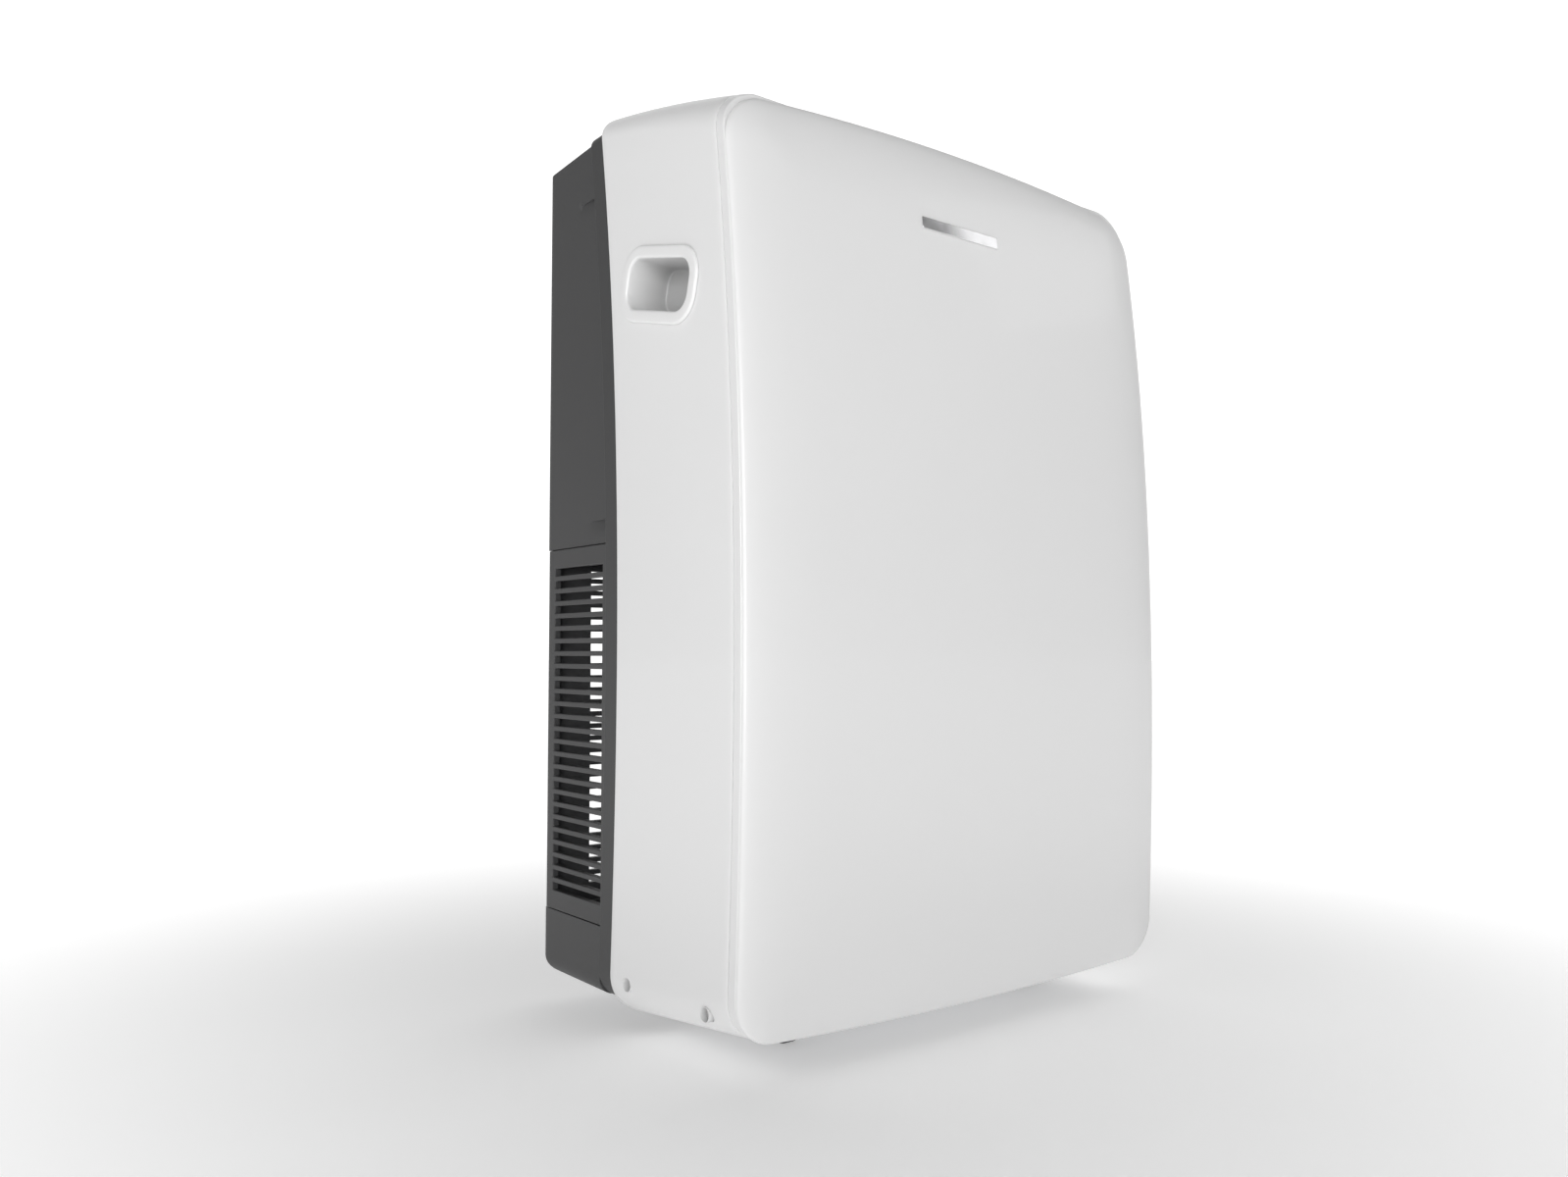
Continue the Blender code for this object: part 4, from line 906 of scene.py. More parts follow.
edge = OUTLET_X - GAP
bay = (2 * edge - 0.012 + 0.004) / 4
across = [(-edge + 0.006 + k * bay, -edge + 0.002 + (k + 1) * bay) for k in range(4)]
low, high = OUTLET_BACK[0] + GAP, OUTLET_BACK[1] - GAP
row = (high - low - 0.010 + 0.0035) / 5
along = [(low + 0.005 + k * row, low + 0.0015 + (k + 1) * row) for k in range(5)]
xs = filled([-edge] + [x for pair in across for x in pair] + [edge], 0.016)
bases = [low] + [base for pair in along for base in pair] + [high]
bm = top_sheet(xs, bases, (0.0, -0.0060), [(x, b) for x in across for b in along])
piece("outlet_slats", bm, DARK, "case", ["outlet_grille"], 0.0006)
print("top panel has two openings; the outlet has", len(across) * len(along), "slots")

# %% [markdown]
# ## Controls
# A glossy dark strip holds four push buttons and a display. The marks are the plainest there are: a
# ring with a stroke for power, three dots for mode, and two triangles. Two unlit digits show faintly
# behind the smoked window. Each button and its mark ride on the button's own body.

# %% Controls
BUTTON_XS, BUTTON_BACK, BUTTON_HALF = (-0.078, -0.048, 0.048, 0.078), 0.043, (0.007, 0.006)
CLEARANCE, DISPLAY_X = 0.0004, 0.022
half = FASCIA_X - GAP
band = (BUTTON_BACK - BUTTON_HALF[1] - CLEARANCE, BUTTON_BACK + BUTTON_HALF[1] + CLEARANCE)
windows = [(x - BUTTON_HALF[0] - CLEARANCE, x + BUTTON_HALF[0] + CLEARANCE) for x in BUTTON_XS]
windows.insert(2, (-DISPLAY_X, DISPLAY_X))
xs = filled([-half] + [x for pair in windows for x in pair] + [half], 0.010)
bases = filled([FASCIA_BACK[0] + GAP, *band, FASCIA_BACK[1] - GAP], 0.006)
bm = top_sheet(xs, bases, (0.0, -0.0035), [(pair, band) for pair in windows])
piece("control_strip", bm, BLACK, "case", ["control_fascia"], 0.0004)

xs, bases = steps(-DISPLAY_X + GAP, DISPLAY_X - GAP, 8), steps(band[0] + GAP, band[1] - GAP, 3)
SMOKED = plastic("smoked_window", (0.020, 0.020, 0.022), 0.08, 0.0040, 0.000004, 0.10, 0.5, alpha=0.78)
bm = top_sheet(xs, bases, (-0.0002, -0.0020))
piece("display_pane", bm, SMOKED, "case", ["display_window"], 0.0003)


def flat_mark(bm, outline, x, base, low, high):
    """A thin mark on the top surface: outline points are offsets in metres."""
    loft(bm, [[top_point(x + a, base + b, lift) for a, b in outline] for lift in (low, high)])


def bar_outline(centre, size):
    (a, b), (w, h) = centre, size
    return [(a + p, b + q) for p, q in rounded_rect(w, h, min(w, h) * 0.4, 3)]


digits = bmesh.new()
for place in (-0.0055, 0.0055):
    for b in (-0.0040, 0.0, 0.0040):
        flat_mark(digits, bar_outline((place, b), (0.0034, 0.0008)), 0.0, BUTTON_BACK, -0.0030, -0.0027)
    for a in (-0.0024, 0.0024):
        for b in (-0.0020, 0.0020):
            stroke = bar_outline((place + a, b), (0.0008, 0.0032))
            flat_mark(digits, stroke, 0.0, BUTTON_BACK, -0.0030, -0.0027)
piece("display_digits", digits, MARK_WHITE, "case", (), 0.0)


def mark(kind):
    bm = bmesh.new()
    x = dict(zip(("power", "mode", "down", "up"), BUTTON_XS))[kind]
    spot = (x, BUTTON_BACK, 0.00140, 0.00148)
    if kind == "power":
        ring = [bar_outline((0.0026 * math.sin(a), 0.0026 * math.cos(a)), (0.0009, 0.0009))
                for a in [math.radians(45 + 270 * k / 18) for k in range(19)]]
        for outline in ring + [bar_outline((0.0, 0.0022), (0.0007, 0.0026))]:
            flat_mark(bm, outline, *spot)
    elif kind == "mode":
        for a in (-0.0028, 0.0, 0.0028):
            flat_mark(bm, bar_outline((a, 0.0), (0.0016, 0.0016)), *spot)
    else:
        sign = 1 if kind == "up" else -1
        flat_mark(bm, [(-0.0028, -0.0018 * sign), (0.0028, -0.0018 * sign), (0.0, 0.0026 * sign)], *spot)
    piece("mark_" + kind, bm, MARK_WHITE, "button_" + kind, (), 0.0)


for kind, x in zip(("power", "mode", "down", "up"), BUTTON_XS):
    rings = []
    for inset, lift in ((0.0, -0.0060), (0.0, 0.0006), (0.0003, 0.0011), (0.0009, 0.0014)):
        outline = rounded_rect(2 * (BUTTON_HALF[0] - inset), 2 * (BUTTON_HALF[1] - inset), 0.0022 - inset, 6)
        rings.append([top_point(x + a, BUTTON_BACK + b, lift) for a, b in outline])
    bm = bmesh.new()
    loft(bm, rings)
    piece("cap_" + kind, bm, BUTTON_GREY, "button_" + kind, ["button_" + kind], 0.0, 50)
    mark(kind)
print("control strip with", len(BUTTON_XS), "buttons and a display")

# %% [markdown]
# ## Dark rear
# A ring-shaped frame starts under the white sides and carries the rear covers. The upper cover has a
# rounded roof edge and shallow finger scoops beside the frame, where a hand pulls it off to reach the
# filter. The base cover holds the drain port and the gland of the mains lead.

# %% Rear frame and covers
DRAIN_AT, GLAND_AT = (0.120, y_of(DEPTH), 0.0480), (-0.120, y_of(DEPTH), 0.0480)
ROOF_FALL, REAR_EDGE = 0.027, 0.004
FRAME_TOP, FRAME_BOTTOM, FRAME_RIM = 0.6120, 0.0160, 0.0055


def frame_point(i, j, side):
    start, drop, count = 0.1275, 0.0034, 5
    share = min(1.0, j / (count - 1) * 2)
    late = max(0.0, j / (count - 1) * 2 - 1)
    last = FRAME_BACK - GAP
    base = start + (WHITE_BACK - start) * share + (last - WHITE_BACK) * late
    top = (white_top(start) - drop) * (1 - share) + (white_top(WHITE_BACK) - drop) * share
    bottom = (white_bottom(start) + drop) * (1 - share) + (white_bottom(WHITE_BACK) + drop) * share
    top, bottom = top + (FRAME_TOP - top) * late, bottom + (FRAME_BOTTOM - bottom) * late
    wall = WALL + (FRAME_RIM - WALL) * late
    x, z = full_outline(FRAME_HALF, top, bottom, 0.010, 0.022, wall * side)[i]
    return (x, y_of(base + bow(z)), z)


bm = sheet(OUTLINE_POINTS, 5, frame_point, True)
piece("frame_ring", bm, DARK, "case", ["rear_frame"], 0.0006)


SCOOP_TOPS, SCOOP_DEPTH, SCOOP_LONG, SCOOP_TALL = (0.5660, 0.3390), 0.0019, 0.026, 0.009


def scoop(back, z):
    """How far a finger scoop dents the side: crisp above, fading down and to the rear."""
    along = 1 - (back - FRAME_BACK - bow(z)) / SCOOP_LONG
    dents = [1 - (top - z) / SCOOP_TALL for top in SCOOP_TOPS if 0 <= top - z < SCOOP_TALL]
    return SCOOP_DEPTH * max(0.0, min(along, 1.0)) * max(dents, default=0.0)


def rear_plan(z, inset, front_shift=0.0, corner=REAR_EDGE):
    """Plan of the rear covers, from the left front edge round the rear to the right."""
    front = FRAME_BACK + GAP + bow(z) + front_shift
    left = []
    for back in steps(front, DEPTH - inset - corner, 24)[:-1]:
        share = (back - front) / (DEPTH - inset - corner - front)
        left.append((-(REAR_HALF_FRONT - inset) + share * (REAR_HALF_FRONT - REAR_HALF), back))
    for k in range(7):
        a = math.pi / 2 * k / 6
        left.append((-(REAR_HALF - inset) + corner - corner * math.cos(a),
                     DEPTH - inset - corner + corner * math.sin(a)))
    return left + [(-x, b) for x, b in reversed(left)]


def rear_rings(levels, front_shift=0.0, dented=False):
    """levels holds (height, inset, how much of the roof's fall applies)."""
    rings = []
    for z, inset, fall in levels:
        ring = []
        for x, b in rear_plan(z, inset, front_shift):
            dent = math.copysign(scoop(b, z), x) if dented and b < DEPTH - 0.02 else 0.0
            ring.append((x - dent, y_of(b), z - ROOF_FALL * fall * (b - FRAME_BACK)))
        rings.append(ring)
    return rings


def roof_levels(inset, top, radius, start, most=0.0300):
    keys = [start] + [z for high in SCOOP_TOPS[::-1] for z in (high - SCOOP_TALL, high, high + 0.0002)]
    levels = [(z, inset, 0.0) for z in filled(keys + [top - 0.030], most)]
    for k in range(7):
        a = math.pi / 2 * k / 6
        levels.append((top - radius + radius * math.sin(a), inset + radius * (1 - math.cos(a)), 1.0))
    return levels


bm = bmesh.new()
loft(bm, rear_rings(roof_levels(0.0, REAR_TOP, 0.0020, SEAM_UPPER + GAP, 0.0060), dented=True))
cover = piece("upper_skin", bm, DARK, "rear_cover", ["rear_upper_cover"], 0.0, 24)
cut(cover, tool_from(rear_rings(roof_levels(WALL, REAR_TOP - WALL, 0.0010, SEAM_UPPER - 0.01), -0.03)))

levels = []
for k in range(8):
    a = math.pi / 2 * k / 7
    levels.append((REAR_BOTTOM + REAR_BOTTOM_R * (1 - math.cos(a)), REAR_BOTTOM_R * (1 - math.sin(a)), 0.0))
levels = [level for level in levels if level[0] > REAR_BOTTOM + 0.0002] + [(SEAM_LOWER - GAP, 0.0, 0.0)]
bm = bmesh.new()
loft(bm, rear_rings(levels))
base = piece("lower_skin", bm, DARK, "case", ["rear_base_cover"], 0.0)
hollow = [(REAR_BOTTOM - 0.01, levels[0][1] + WALL, 0.0)]
hollow += [(z, inset + WALL, 0.0) for z, inset, _ in levels[:-1]] + [(SEAM_LOWER + 0.01, WALL, 0.0)]
cut(base, tool_from(rear_rings(hollow, -0.03)))
cut(base, round_tool(DRAIN_AT, 0.0098, "y", 0.01))
cut(base, round_tool(GLAND_AT, 0.0068, "y", 0.01))
print("rear frame, upper cover with four scoops, base cover with two ports")

# %% [markdown]
# ## Intake louvres
# The louvres wrap round both rear corners. Their slats are level and five millimetres thick, and
# upright ribs split them into bays. Daylight comes through the front ends of the side slots, so the
# slots are really open.

# %% Intake louvres
PITCH, SLOT, ROWS, LOUVRE_WALL, SIDE_SLOT = 0.0090, 0.0055, 26, 0.0050, (0.1800, 0.2515)
REAR_SLOTS, REAR_SLOT_START, REAR_SLOT_PITCH, REAR_SLOT_LENGTH = 4, -0.1490, 0.0757, 0.0709
first = (SEAM_LOWER + SEAM_UPPER - PITCH * ROWS + PITCH - SLOT) / 2
rows = [SEAM_LOWER + GAP]
for k in range(ROWS):
    rows += [first + k * PITCH, first + k * PITCH + SLOT]
rows.append(SEAM_UPPER - GAP)

stations = [("side", None), ("side", SIDE_SLOT[0]), ("side", SIDE_SLOT[1]), ("side", DEPTH - REAR_EDGE)]
stations.append(("rear", -REAR_HALF + REAR_EDGE))
for k in range(REAR_SLOTS):
    start = REAR_SLOT_START + REAR_SLOT_PITCH * k
    stations += [("rear", start), ("rear", start + REAR_SLOT_LENGTH)]
stations.append(("rear", REAR_HALF - REAR_EDGE))
stations += [("right", value) for _, value in reversed(stations[:4])]


def half_at(back):
    return REAR_HALF_FRONT + (REAR_HALF - REAR_HALF_FRONT) * (back - FRAME_BACK) / (DEPTH - FRAME_BACK)


def louvre_point(i, j, side):
    kind, value = stations[i]
    inset, z = LOUVRE_WALL * side, rows[j]
    if kind == "rear":
        return (value * (1 - inset / 0.3), y_of(DEPTH - inset), z)
    if value is None:
        value = FRAME_BACK + GAP + bow(z)
    if value > SIDE_SLOT[1]:
        value -= inset
    return ((1 if kind == "right" else -1) * (half_at(value) - inset), y_of(value), z)


slot_columns = {1, 5, 7, 9, 11, 15}
bm = sheet(len(stations), len(rows), louvre_point, False, lambda i, j: i in slot_columns and j % 2 == 1)
piece("louvres", bm, DARK, "case", ["intake_grille"], 0.0005)
print("louvres:", ROWS, "rows in", len(slot_columns), "bays")

# %% [markdown]
# ## Ports
# The drain port is closed by a rubber cap with grip ribs. The mains lead would pass through the
# tapered gland at the other end.

# %% Ports
rings = []
cap = ((0.0090, -0.0068), (0.0094, -0.0062), (0.0094, -0.0012), (0.0091, -0.0004), (0.0084, 0.0))
for radius, along in cap:
    ring = []
    for k in range(96):
        a = 2 * math.pi * k / 96
        r = radius - 0.0003 * (k % 4 > 1)
        ring.append((DRAIN_AT[0] + r * math.cos(a), DRAIN_AT[1] + along, DRAIN_AT[2] + r * math.sin(a)))
    rings.append(ring)
bm = bmesh.new()
loft(bm, rings)
piece("ribbed_cap", bm, RUBBER, "drain_cap", ["drain_cap"], 0.0, 40)

bm = bmesh.new()
gland = ((0.0066, 0.0), (0.0064, -0.0015), (0.0064, -0.0085), (0.0035, -0.0085),
         (0.0035, -0.0010), (0.0042, 0.0))
turn_into(bm, GLAND_AT, gland, "y", True)
piece("lead_gland", bm, RUBBER, "case", ["cord_gland"], 0.0003, 28)
print("drain cap and gland")

# %% [markdown]
# ## Casters
# Four swivel casters: a fork of dark nylon, a steel axle and a wheel with a rubber tyre round a
# nylon hub. The fork turns with the caster body and the wheel with its own.

# %% Casters
WHEEL_R, TRAIL, CASTER_X, CASTER_BACKS = 0.012, 0.006, 0.112, (0.066, 0.222)
TYRE = ((0.0088, -0.0050), (0.0106, -0.0055), (0.0116, -0.0049), (WHEEL_R, -0.0034), (WHEEL_R, 0.0034),
        (0.0116, 0.0049), (0.0106, 0.0055), (0.0088, 0.0050))
HUB = ((0.0020, -0.0055), (0.0036, -0.0055), (0.0040, -0.0036), (0.0078, -0.0034), (0.0087, -0.0046),
       (0.0087, 0.0046), (0.0078, 0.0034), (0.0040, 0.0036), (0.0036, 0.0055), (0.0020, 0.0055))
PLATE = ((0.0108, 0.0320), (0.0118, 0.0324), (0.0120, 0.0332), (0.0120, 0.0371))
AXLE = ((0.0010, -0.0100), (0.0015, -0.0096), (0.0015, 0.0096), (0.0010, 0.0100))

for end, back in zip(("front", "rear"), CASTER_BACKS):
    for label, sign in (("left", -1), ("right", 1)):
        tag = "%s_%s" % (end, label)
        x, hub_back = sign * CASTER_X, back + TRAIL
        hub_at = (x, y_of(hub_back), WHEEL_R)
        fork = bmesh.new()
        turn_into(fork, (x, y_of(back), 0.0), PLATE, "z")
        for side in (-1, 1):
            span = sorted((x + side * 0.0062, x + side * 0.0088))
            rings = []
            for z, front, rear, inset in ((0.0085, -0.0022, 0.0022, 0.0006), (0.0092, -0.0036, 0.0036, 0.0),
                                          (0.0120, -0.0045, 0.0045, 0.0), (0.0200, -0.0060, 0.0045, 0.0),
                                          (0.0330, -0.0120, 0.0045, 0.0)):
                wide = (span[0] + inset, span[1] - inset)
                rings.append([(wide[0], y_of(hub_back + front), z), (wide[1], y_of(hub_back + front), z),
                              (wide[1], y_of(hub_back + rear), z), (wide[0], y_of(hub_back + rear), z)])
            loft(fork, rings)
        swivel = "caster_" + tag
        piece("fork_" + tag, fork, CASTER_GREY, swivel, ["caster_fork_" + tag], 0.0004)
        axle = bmesh.new()
        turn_into(axle, hub_at, AXLE, "x")
        piece("axle_" + tag, axle, STEEL, swivel, ["caster_axle_" + tag], 0.0)
        tyre = bmesh.new()
        turn_into(tyre, hub_at, TYRE, "x", True, 64)
        piece("tyre_" + tag, tyre, RUBBER, "wheel_" + tag, ["caster_wheel_" + tag], 0.0, 50)
        hub = bmesh.new()
        turn_into(hub, hub_at, HUB, "x", True, 48)
        piece("hub_" + tag, hub, CASTER_GREY, "wheel_" + tag, (), 0.0)
print("four casters")

# %% [markdown]
# ## Water bucket
# The bucket is one clear moulding: outside wall, lip and inside wall are a single profile swept round
# a rounded rectangle. It slides out to the right with a white face on its end.

# %% Bucket
low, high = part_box("water_bucket")
WATER_LINE = 0.255


def tub_ring(inset, z):
    width, depth = high.x - low.x - 2 * inset, high.y - low.y - 2 * inset
    outline = rounded_rect(width, depth, max(0.0010, 0.0085 - inset), 8)
    return [((low.x + high.x) / 2 + a, (low.y + high.y) / 2 + b, z) for a, b in outline]


bottom, brim = low.z, high.z
profile = ((0.0120, bottom), (0.0040, bottom), (0.0012, bottom + 0.0012), (0.0, bottom + 0.0040),
           (0.0, WATER_LINE), (-0.0003, WATER_LINE + 0.0004), (-0.0003, WATER_LINE + 0.0012),
           (0.0, WATER_LINE + 0.0016), (0.0, brim - 0.0065), (-0.0009, brim - 0.0055),
           (-0.0009, brim - 0.0008), (-0.0003, brim), (0.0016, brim), (0.0022, brim - 0.0006),
           (0.0022, bottom + 0.0080), (0.0036, bottom + 0.0040), (0.0066, bottom + 0.0025),
           (0.0120, bottom + 0.0025))
bm = bmesh.new()
loft(bm, [tub_ring(inset, z) for inset, z in profile])
tub = piece("clear_bucket", bm, CLEAR, "bucket", ["water_bucket"], 0.0, 40)
middle_x, pivot_y, pivot_z = (low.x + high.x) / 2, (low.y + high.y) / 2, high.z - 0.0070
float_x, float_z = low.x + 0.012, 0.2420
cut(tub, round_tool((middle_x, pivot_y, pivot_z), 0.0025, "x", 0.2))
cut(tub, round_tool((float_x, pivot_y, float_z), 0.0022, "y", 0.1))

face_low, face_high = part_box("bucket_face")
thick = 0.0022


def door_ring(x, inset):
    y_span, z_span = face_high.y - face_low.y - 2 * inset, face_high.z - face_low.z - 2 * inset
    outline = rounded_rect(y_span, z_span, 0.0008, 4)
    return [(x, (face_low.y + face_high.y) / 2 + a, (face_low.z + face_high.z) / 2 + b) for a, b in outline]


shell = ((face_high.x - WALL, 0.0120), (face_high.x - WALL, thick), (face_low.x, thick), (face_low.x, 0.0),
         (face_high.x - 0.0012, 0.0), (face_high.x - 0.0004, 0.0004), (face_high.x, 0.0012),
         (face_high.x, 0.0120))
bm = bmesh.new()
loft(bm, [door_ring(x, inset) for x, inset in shell])
face = piece("bucket_door", bm, WHITE, "bucket", ["bucket_face"], 0.0, 40)
slot_rings = []
for x in (0.1850, 0.2000):
    outline = rounded_rect(0.0600, 0.0180, 0.0060, 8)
    slot_rings.append([(x, y_of(0.0790) + a, 0.2710 + b) for a, b in outline])
cut(face, tool_from(slot_rings))
litres = (high.x - low.x) * (high.y - low.y) * (WATER_LINE - low.z) * 1000
print("bucket holds about", round(litres, 1), "litres")

# %% [markdown]
# ## Bail and float
# A bail turns on two pins in the bucket's end walls and folds down into its mouth. A foam float on a
# rod rises with the water.

# %% Bail and float
arm_low, arm_high = low.x + 0.0022 + 0.0030, high.x - 0.0022 - 0.0030
reach, turn = 0.038, 0.0065
rail = [(arm_low, pivot_y + 0.002, pivot_z), (arm_low, pivot_y - 0.010, pivot_z),
        (arm_low, pivot_y - reach + turn, pivot_z), (arm_low + 0.0020, pivot_y - reach + 0.0020, pivot_z),
        (arm_low + turn, pivot_y - reach, pivot_z)]
rail += [(x, pivot_y - reach, pivot_z) for x in steps(arm_low + 0.03, arm_high - 0.03, 4)]
rail += [(arm_high - turn, pivot_y - reach, pivot_z), (arm_high - 0.0020, pivot_y - reach + 0.0020, pivot_z),
         (arm_high, pivot_y - reach + turn, pivot_z), (arm_high, pivot_y - 0.010, pivot_z),
         (arm_high, pivot_y + 0.002, pivot_z)]
run("bail_bar", rail, 0.0020, DARK, "bucket_bail", ["bucket_bail"])
bm = bmesh.new()
grip = ((0.0020, -0.0380), (0.0031, -0.0365), (0.0033, -0.0200), (0.0033, 0.0200),
        (0.0031, 0.0365), (0.0020, 0.0380))
turn_into(bm, (middle_x, pivot_y - reach, pivot_z), grip, "x")
for x, outward in ((arm_low, -1), (arm_high, 1)):
    pin = [(0.0034, 0.0014), (0.0034, -0.0010), (0.0020, -0.0014), (0.0020, -0.0044), (0.0016, -0.0048)]
    turn_into(bm, (x, pivot_y, pivot_z), [(r, -outward * along) for r, along in pin], "x", sides=24)
piece("bail_grip", bm, DARK, "bucket_bail", (), 0.0)

bm = bmesh.new()
rod_half = (high.y - low.y) / 2 - 0.0006
rod = ((0.0012, -rod_half), (0.0018, -rod_half + 0.0006), (0.0018, rod_half - 0.0006), (0.0012, rod_half))
turn_into(bm, (float_x, pivot_y, float_z), rod, "y", sides=24)
loft(bm, block((float_x - 0.001, float_x + 0.020), (pivot_y - 0.004, pivot_y + 0.004),
               (float_z - 0.0025, float_z + 0.0025), 0.0010))
loft(bm, block((float_x + 0.019, float_x + 0.049), (pivot_y - 0.016, pivot_y + 0.016),
               (float_z - 0.012, float_z + 0.008), 0.0035))
piece("foam_float", bm, FLOAT_WHITE, "bucket_float", ["bucket_float"], 0.0, 50)
print("bail and float ready")

# %% [markdown]
# ## Refrigeration
# The compressor is a deep-drawn can with a weld seam round its middle. The two coils are stacks of
# thin fins threaded by copper tubes that turn back at each end. Pipes and the drain hose follow
# smooth curves.

# %% Compressor, coils and pipes
low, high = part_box("compressor")
spot = ((low.x + high.x) / 2, (low.y + high.y) / 2, 0.0)
can = [(0.0505, 0.0500), (0.0520, 0.0506), (0.0520, 0.0520), (0.0470, 0.0530), (0.0466, 0.0560),
       (0.0480, 0.0640), (0.0480, 0.1180), (0.0488, 0.1186), (0.0490, 0.1200), (0.0488, 0.1214),
       (0.0480, 0.1220), (0.0480, 0.1880), (0.0474, 0.1960), (0.0450, 0.2040), (0.0400, 0.2120),
       (0.0320, 0.2185), (0.0220, 0.2225), (0.0100, 0.2245), (0.0010, 0.2249)]
bm = bmesh.new()
turn_into(bm, spot, can, "z", sides=64)
piece("compressor_can", bm, ENAMEL, "case", ["compressor"], 0.0, 40)


def coil(name, node):
    """Thin fins, and one copper tube that runs to and fro through them."""
    low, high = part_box(node)
    fins = bmesh.new()
    for x in steps(low.x + 0.0006, high.x - 0.0006, 96):
        wide = (x - 0.00022, x + 0.00022)
        outline = ((wide[0], low.y), (wide[1], low.y), (wide[1], high.y), (wide[0], high.y))
        loft(fins, [[(p, q, z) for p, q in outline] for z in (low.z, high.z)])
    piece(name + "_fins", fins, FIN, "case", [node], 0.0)
    path, middle, rows, radius = [], (low.y + high.y) / 2, 20, 0.0030
    pitch = (high.z - low.z) / rows
    for k in range(rows):
        z = low.z + pitch * (k + 0.5)
        sign = 1 if k % 2 == 0 else -1
        path.append((-sign * high.x, middle, z))
        for m in range(9 if k < rows - 1 else 1):
            a = math.pi * m / 8
            out, rise = pitch / 2 * math.sin(a), pitch / 2 * (1 - math.cos(a))
            path.append((sign * (high.x + out), middle, z + rise))
    run(name + "_tube", path, radius, COPPER, "case", (), 1)


coil("condenser_coil", "condenser")
coil("evaporator_coil", "evaporator")


def back_points(points):
    return [(x, y_of(b), z) for x, b, z in points]


suction = ((-0.1400, 0.0960, 0.2240), (-0.1400, 0.0960, 0.2500), (-0.1500, 0.1000, 0.2700),
           (-0.1600, 0.1300, 0.2850), (-0.1700, 0.1480, 0.3000), (-0.1700, 0.1480, 0.3380))
run("suction_line", back_points(suction), 0.0038, COPPER, "case", ["suction_pipe"])
discharge = ((-0.1020, 0.0960, 0.2262), (-0.1020, 0.0960, 0.2600), (-0.1100, 0.1100, 0.2900),
             (-0.1350, 0.1400, 0.3100), (-0.1400, 0.1480, 0.3250), (-0.1400, 0.1480, 0.3380))
run("discharge_line", back_points(discharge), 0.0030, COPPER, "case", ["discharge_pipe"])
hose = ((0.150, 0.205, 0.3275), (0.150, 0.205, 0.2000), (0.150, 0.205, 0.0900), (0.148, 0.208, 0.0650),
        (0.138, 0.222, 0.0520), (0.125, 0.240, 0.0482), (0.120, 0.250, 0.0480), (0.120, 0.2575, 0.0480))
run("drain_line", back_points(hose), 0.0052, CLEAR, "case", ["drain_hose"])
print("compressor, two coils, two pipes and a hose")

# %% [markdown]
# ## Air path
# The blower wheel is a cage of forward-curved blades between two rings, spun by a motor in front of
# its scroll.

# %% Blower and motor
BLOWER_X, BLOWER_HEIGHT, BLADES = -0.010, 0.447, 40
hub_low, hub_high = y_of(0.0990), y_of(0.1430)
hub_at = (BLOWER_X, hub_low, BLOWER_HEIGHT)
bm = bmesh.new()
for k in range(BLADES):
    start = 2 * math.pi * k / BLADES
    section = []
    for thick in (0.0, 0.0007):
        line = []
        for m in range(6):
            share = m / 5
            r = 0.0606 + 0.0088 * share
            a = start + 0.115 * share ** 1.8 + thick / r
            line.append((BLOWER_X + r * math.cos(a), BLOWER_HEIGHT + r * math.sin(a)))
        section += line if thick == 0.0 else line[::-1]
    loft(bm, [[(x, y, z) for x, z in section] for y in (hub_low + 0.001, hub_high - 0.001)])
for along in (0.0, hub_high - hub_low - 0.0036):
    ring = ((0.0600, along + 0.0004), (0.0604, along), (0.0696, along), (0.0700, along + 0.0004),
            (0.0700, along + 0.0032), (0.0696, along + 0.0036), (0.0604, along + 0.0036),
            (0.0600, along + 0.0032))
    turn_into(bm, hub_at, ring, "y", True, 80)
disc = ((0.0620, 0.0005), (0.0620, 0.0026), (0.0400, 0.0040), (0.0160, 0.0070), (0.0120, 0.0090),
        (0.0120, 0.0195), (0.0114, 0.0200), (0.0034, 0.0200), (0.0034, 0.0005))
turn_into(bm, hub_at, disc, "y", True, 64)
piece("cage_wheel", bm, INNER_GREY, "blower_wheel", ["blower_wheel"], 0.0, 40)

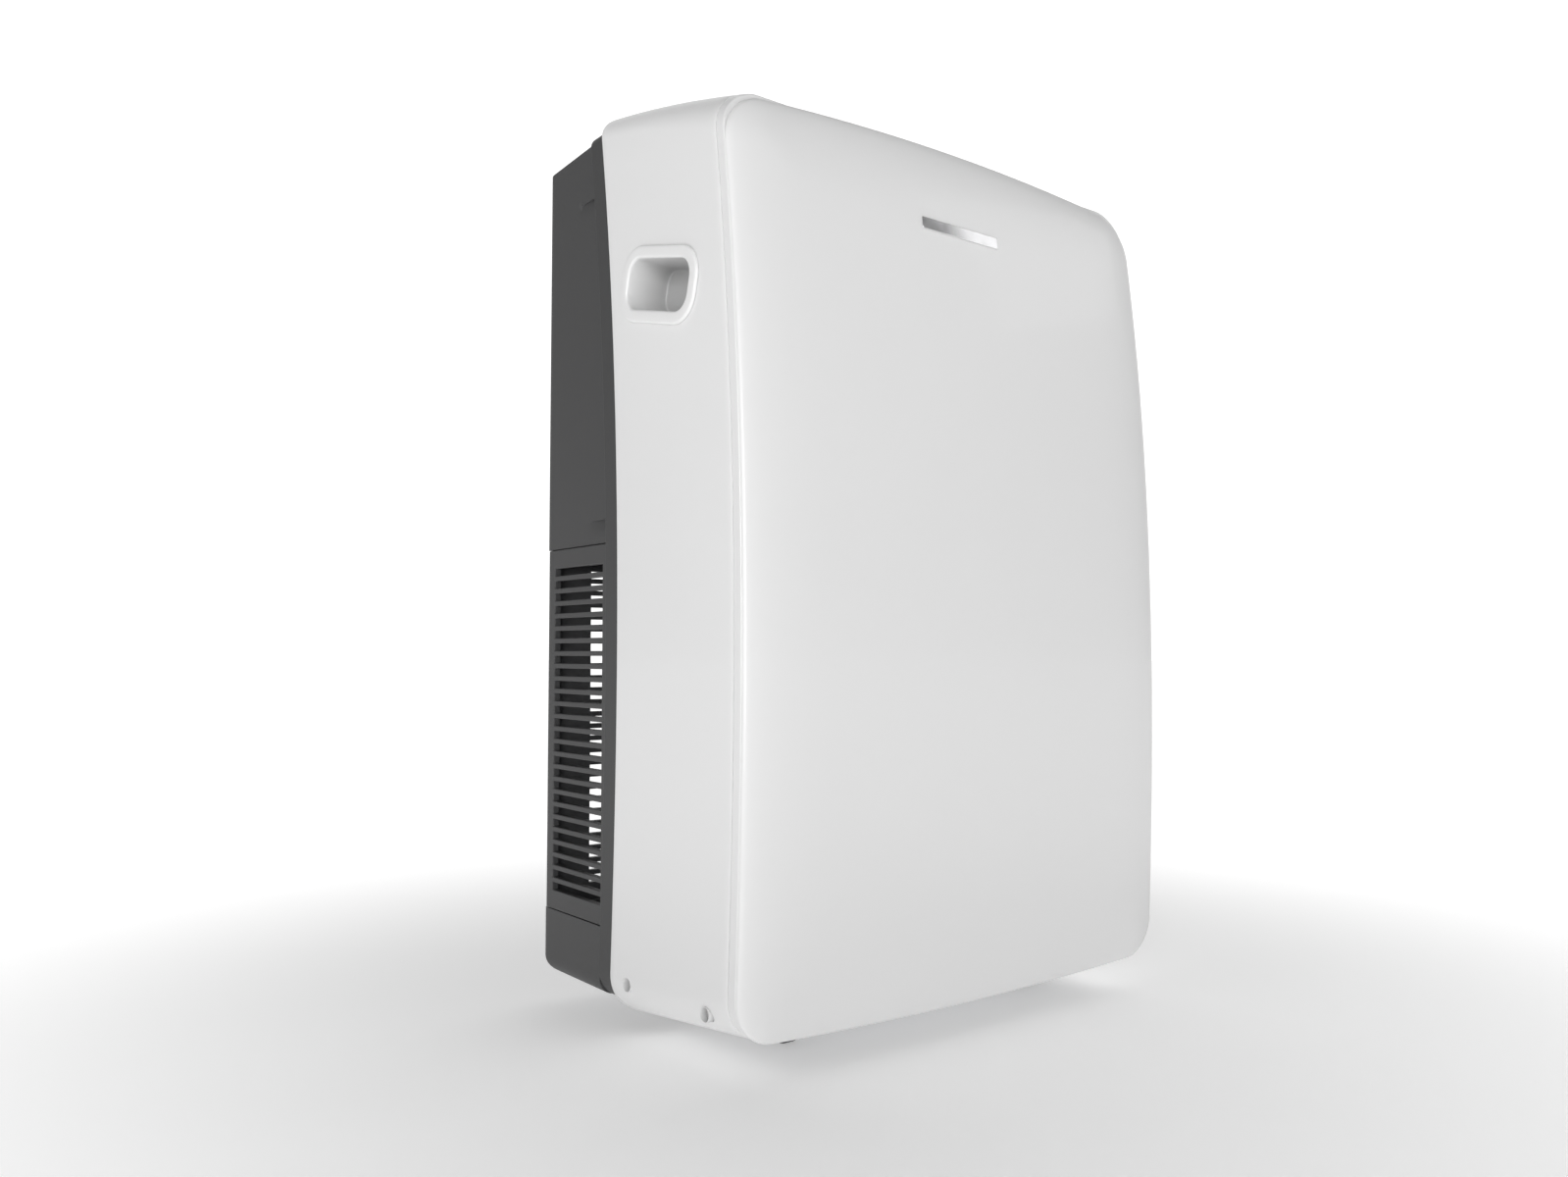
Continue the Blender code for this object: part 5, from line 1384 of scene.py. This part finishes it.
bm = bmesh.new()
motor = [(0.0280, 0.0480), (0.0330, 0.0486), (0.0372, 0.0510), (0.0380, 0.0535)]
for k in range(5):
    start = 0.0570 + 0.0055 * k
    motor += [(0.0380, start), (0.0366, start + 0.0006), (0.0366, start + 0.0022), (0.0380, start + 0.0028)]
motor += [(0.0380, 0.0848), (0.0372, 0.0872), (0.0330, 0.0894), (0.0280, 0.0900), (0.0110, 0.0905),
          (0.0110, 0.0950), (0.0030, 0.0952), (0.0030, 0.1166), (0.0024, 0.1170)]
turn_into(bm, (BLOWER_X, y_of(0.0), BLOWER_HEIGHT), motor, "y", sides=64)
piece("motor_can", bm, ENAMEL, "case", ["fan_motor"], 0.0, 40)
print("blower wheel with", BLADES, "blades, and its motor")

# %% [markdown]
# ## Air filter
# Air is drawn in through an open weave held in a stiff frame behind the evaporator. The frame has
# three upright bars, and both come away with the upper cover.

# %% Air filter
low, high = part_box("air_filter_frame")
bar = 0.008
xs = [low.x, low.x + bar] + steps(low.x + bar, high.x - bar, 4)[1:-1] + [high.x - bar, high.x]
xs = sorted(xs[:2] + [x + d for x in xs[2:-2] for d in (-0.0012, 0.0012)] + xs[-2:])
zs = [low.z, low.z + bar, high.z - bar, high.z]


def filter_point(i, j, side):
    return (xs[i], low.y if side else high.y, zs[j])


bm = sheet(len(xs), 4, filter_point, False, lambda i, j: j == 1 and i % 2 == 1)
piece("filter_frame", bm, DARK, "rear_cover", ["air_filter_frame"], 0.0006)
cloth_low, cloth_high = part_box("air_filter_mesh")
middle = (cloth_low.y + cloth_high.y) / 2
across = steps(cloth_low.x, cloth_high.x, 40)
up = steps(cloth_low.z, cloth_high.z, 30)


def cloth_point(i, j, side):
    sag = 0.00012 * math.sin(across[i] * 260) * math.sin(up[j] * 300)
    return (across[i], middle + sag + (0.0001 if side else -0.0001), up[j])


bm = sheet(len(across), len(up), cloth_point)
piece("filter_cloth", bm, WEAVE, "rear_cover", ["air_filter_mesh"], 0.0)
print("filter frame and its cloth")

# %% [markdown]
# ## Plain inner parts
# The pan, bulkheads, tray, scroll and boxes are sheet or box shapes already right in the frame. They
# keep their own meshes and only take on a finish.

# %% Finishes for frame meshes
dress(SHEET, "base_pan", "inner_partition")
dress(INNER_GREY, "bucket_cradle", "drip_tray", "blower_housing", "electrical_box")
dress(STEEL, "compressor_bracket")
dress(BLACK, "float_switch")
dress(BOARD, "control_board")
print("nine frame meshes dressed")

# %% [markdown]
# ## Finish
# The pieces are meant to keep the size of the frame alone, so we print both sizes.

# %% Finish
low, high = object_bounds()
print("before", tuple(cad_low), tuple(cad_high))
print("after", tuple(low), tuple(high))
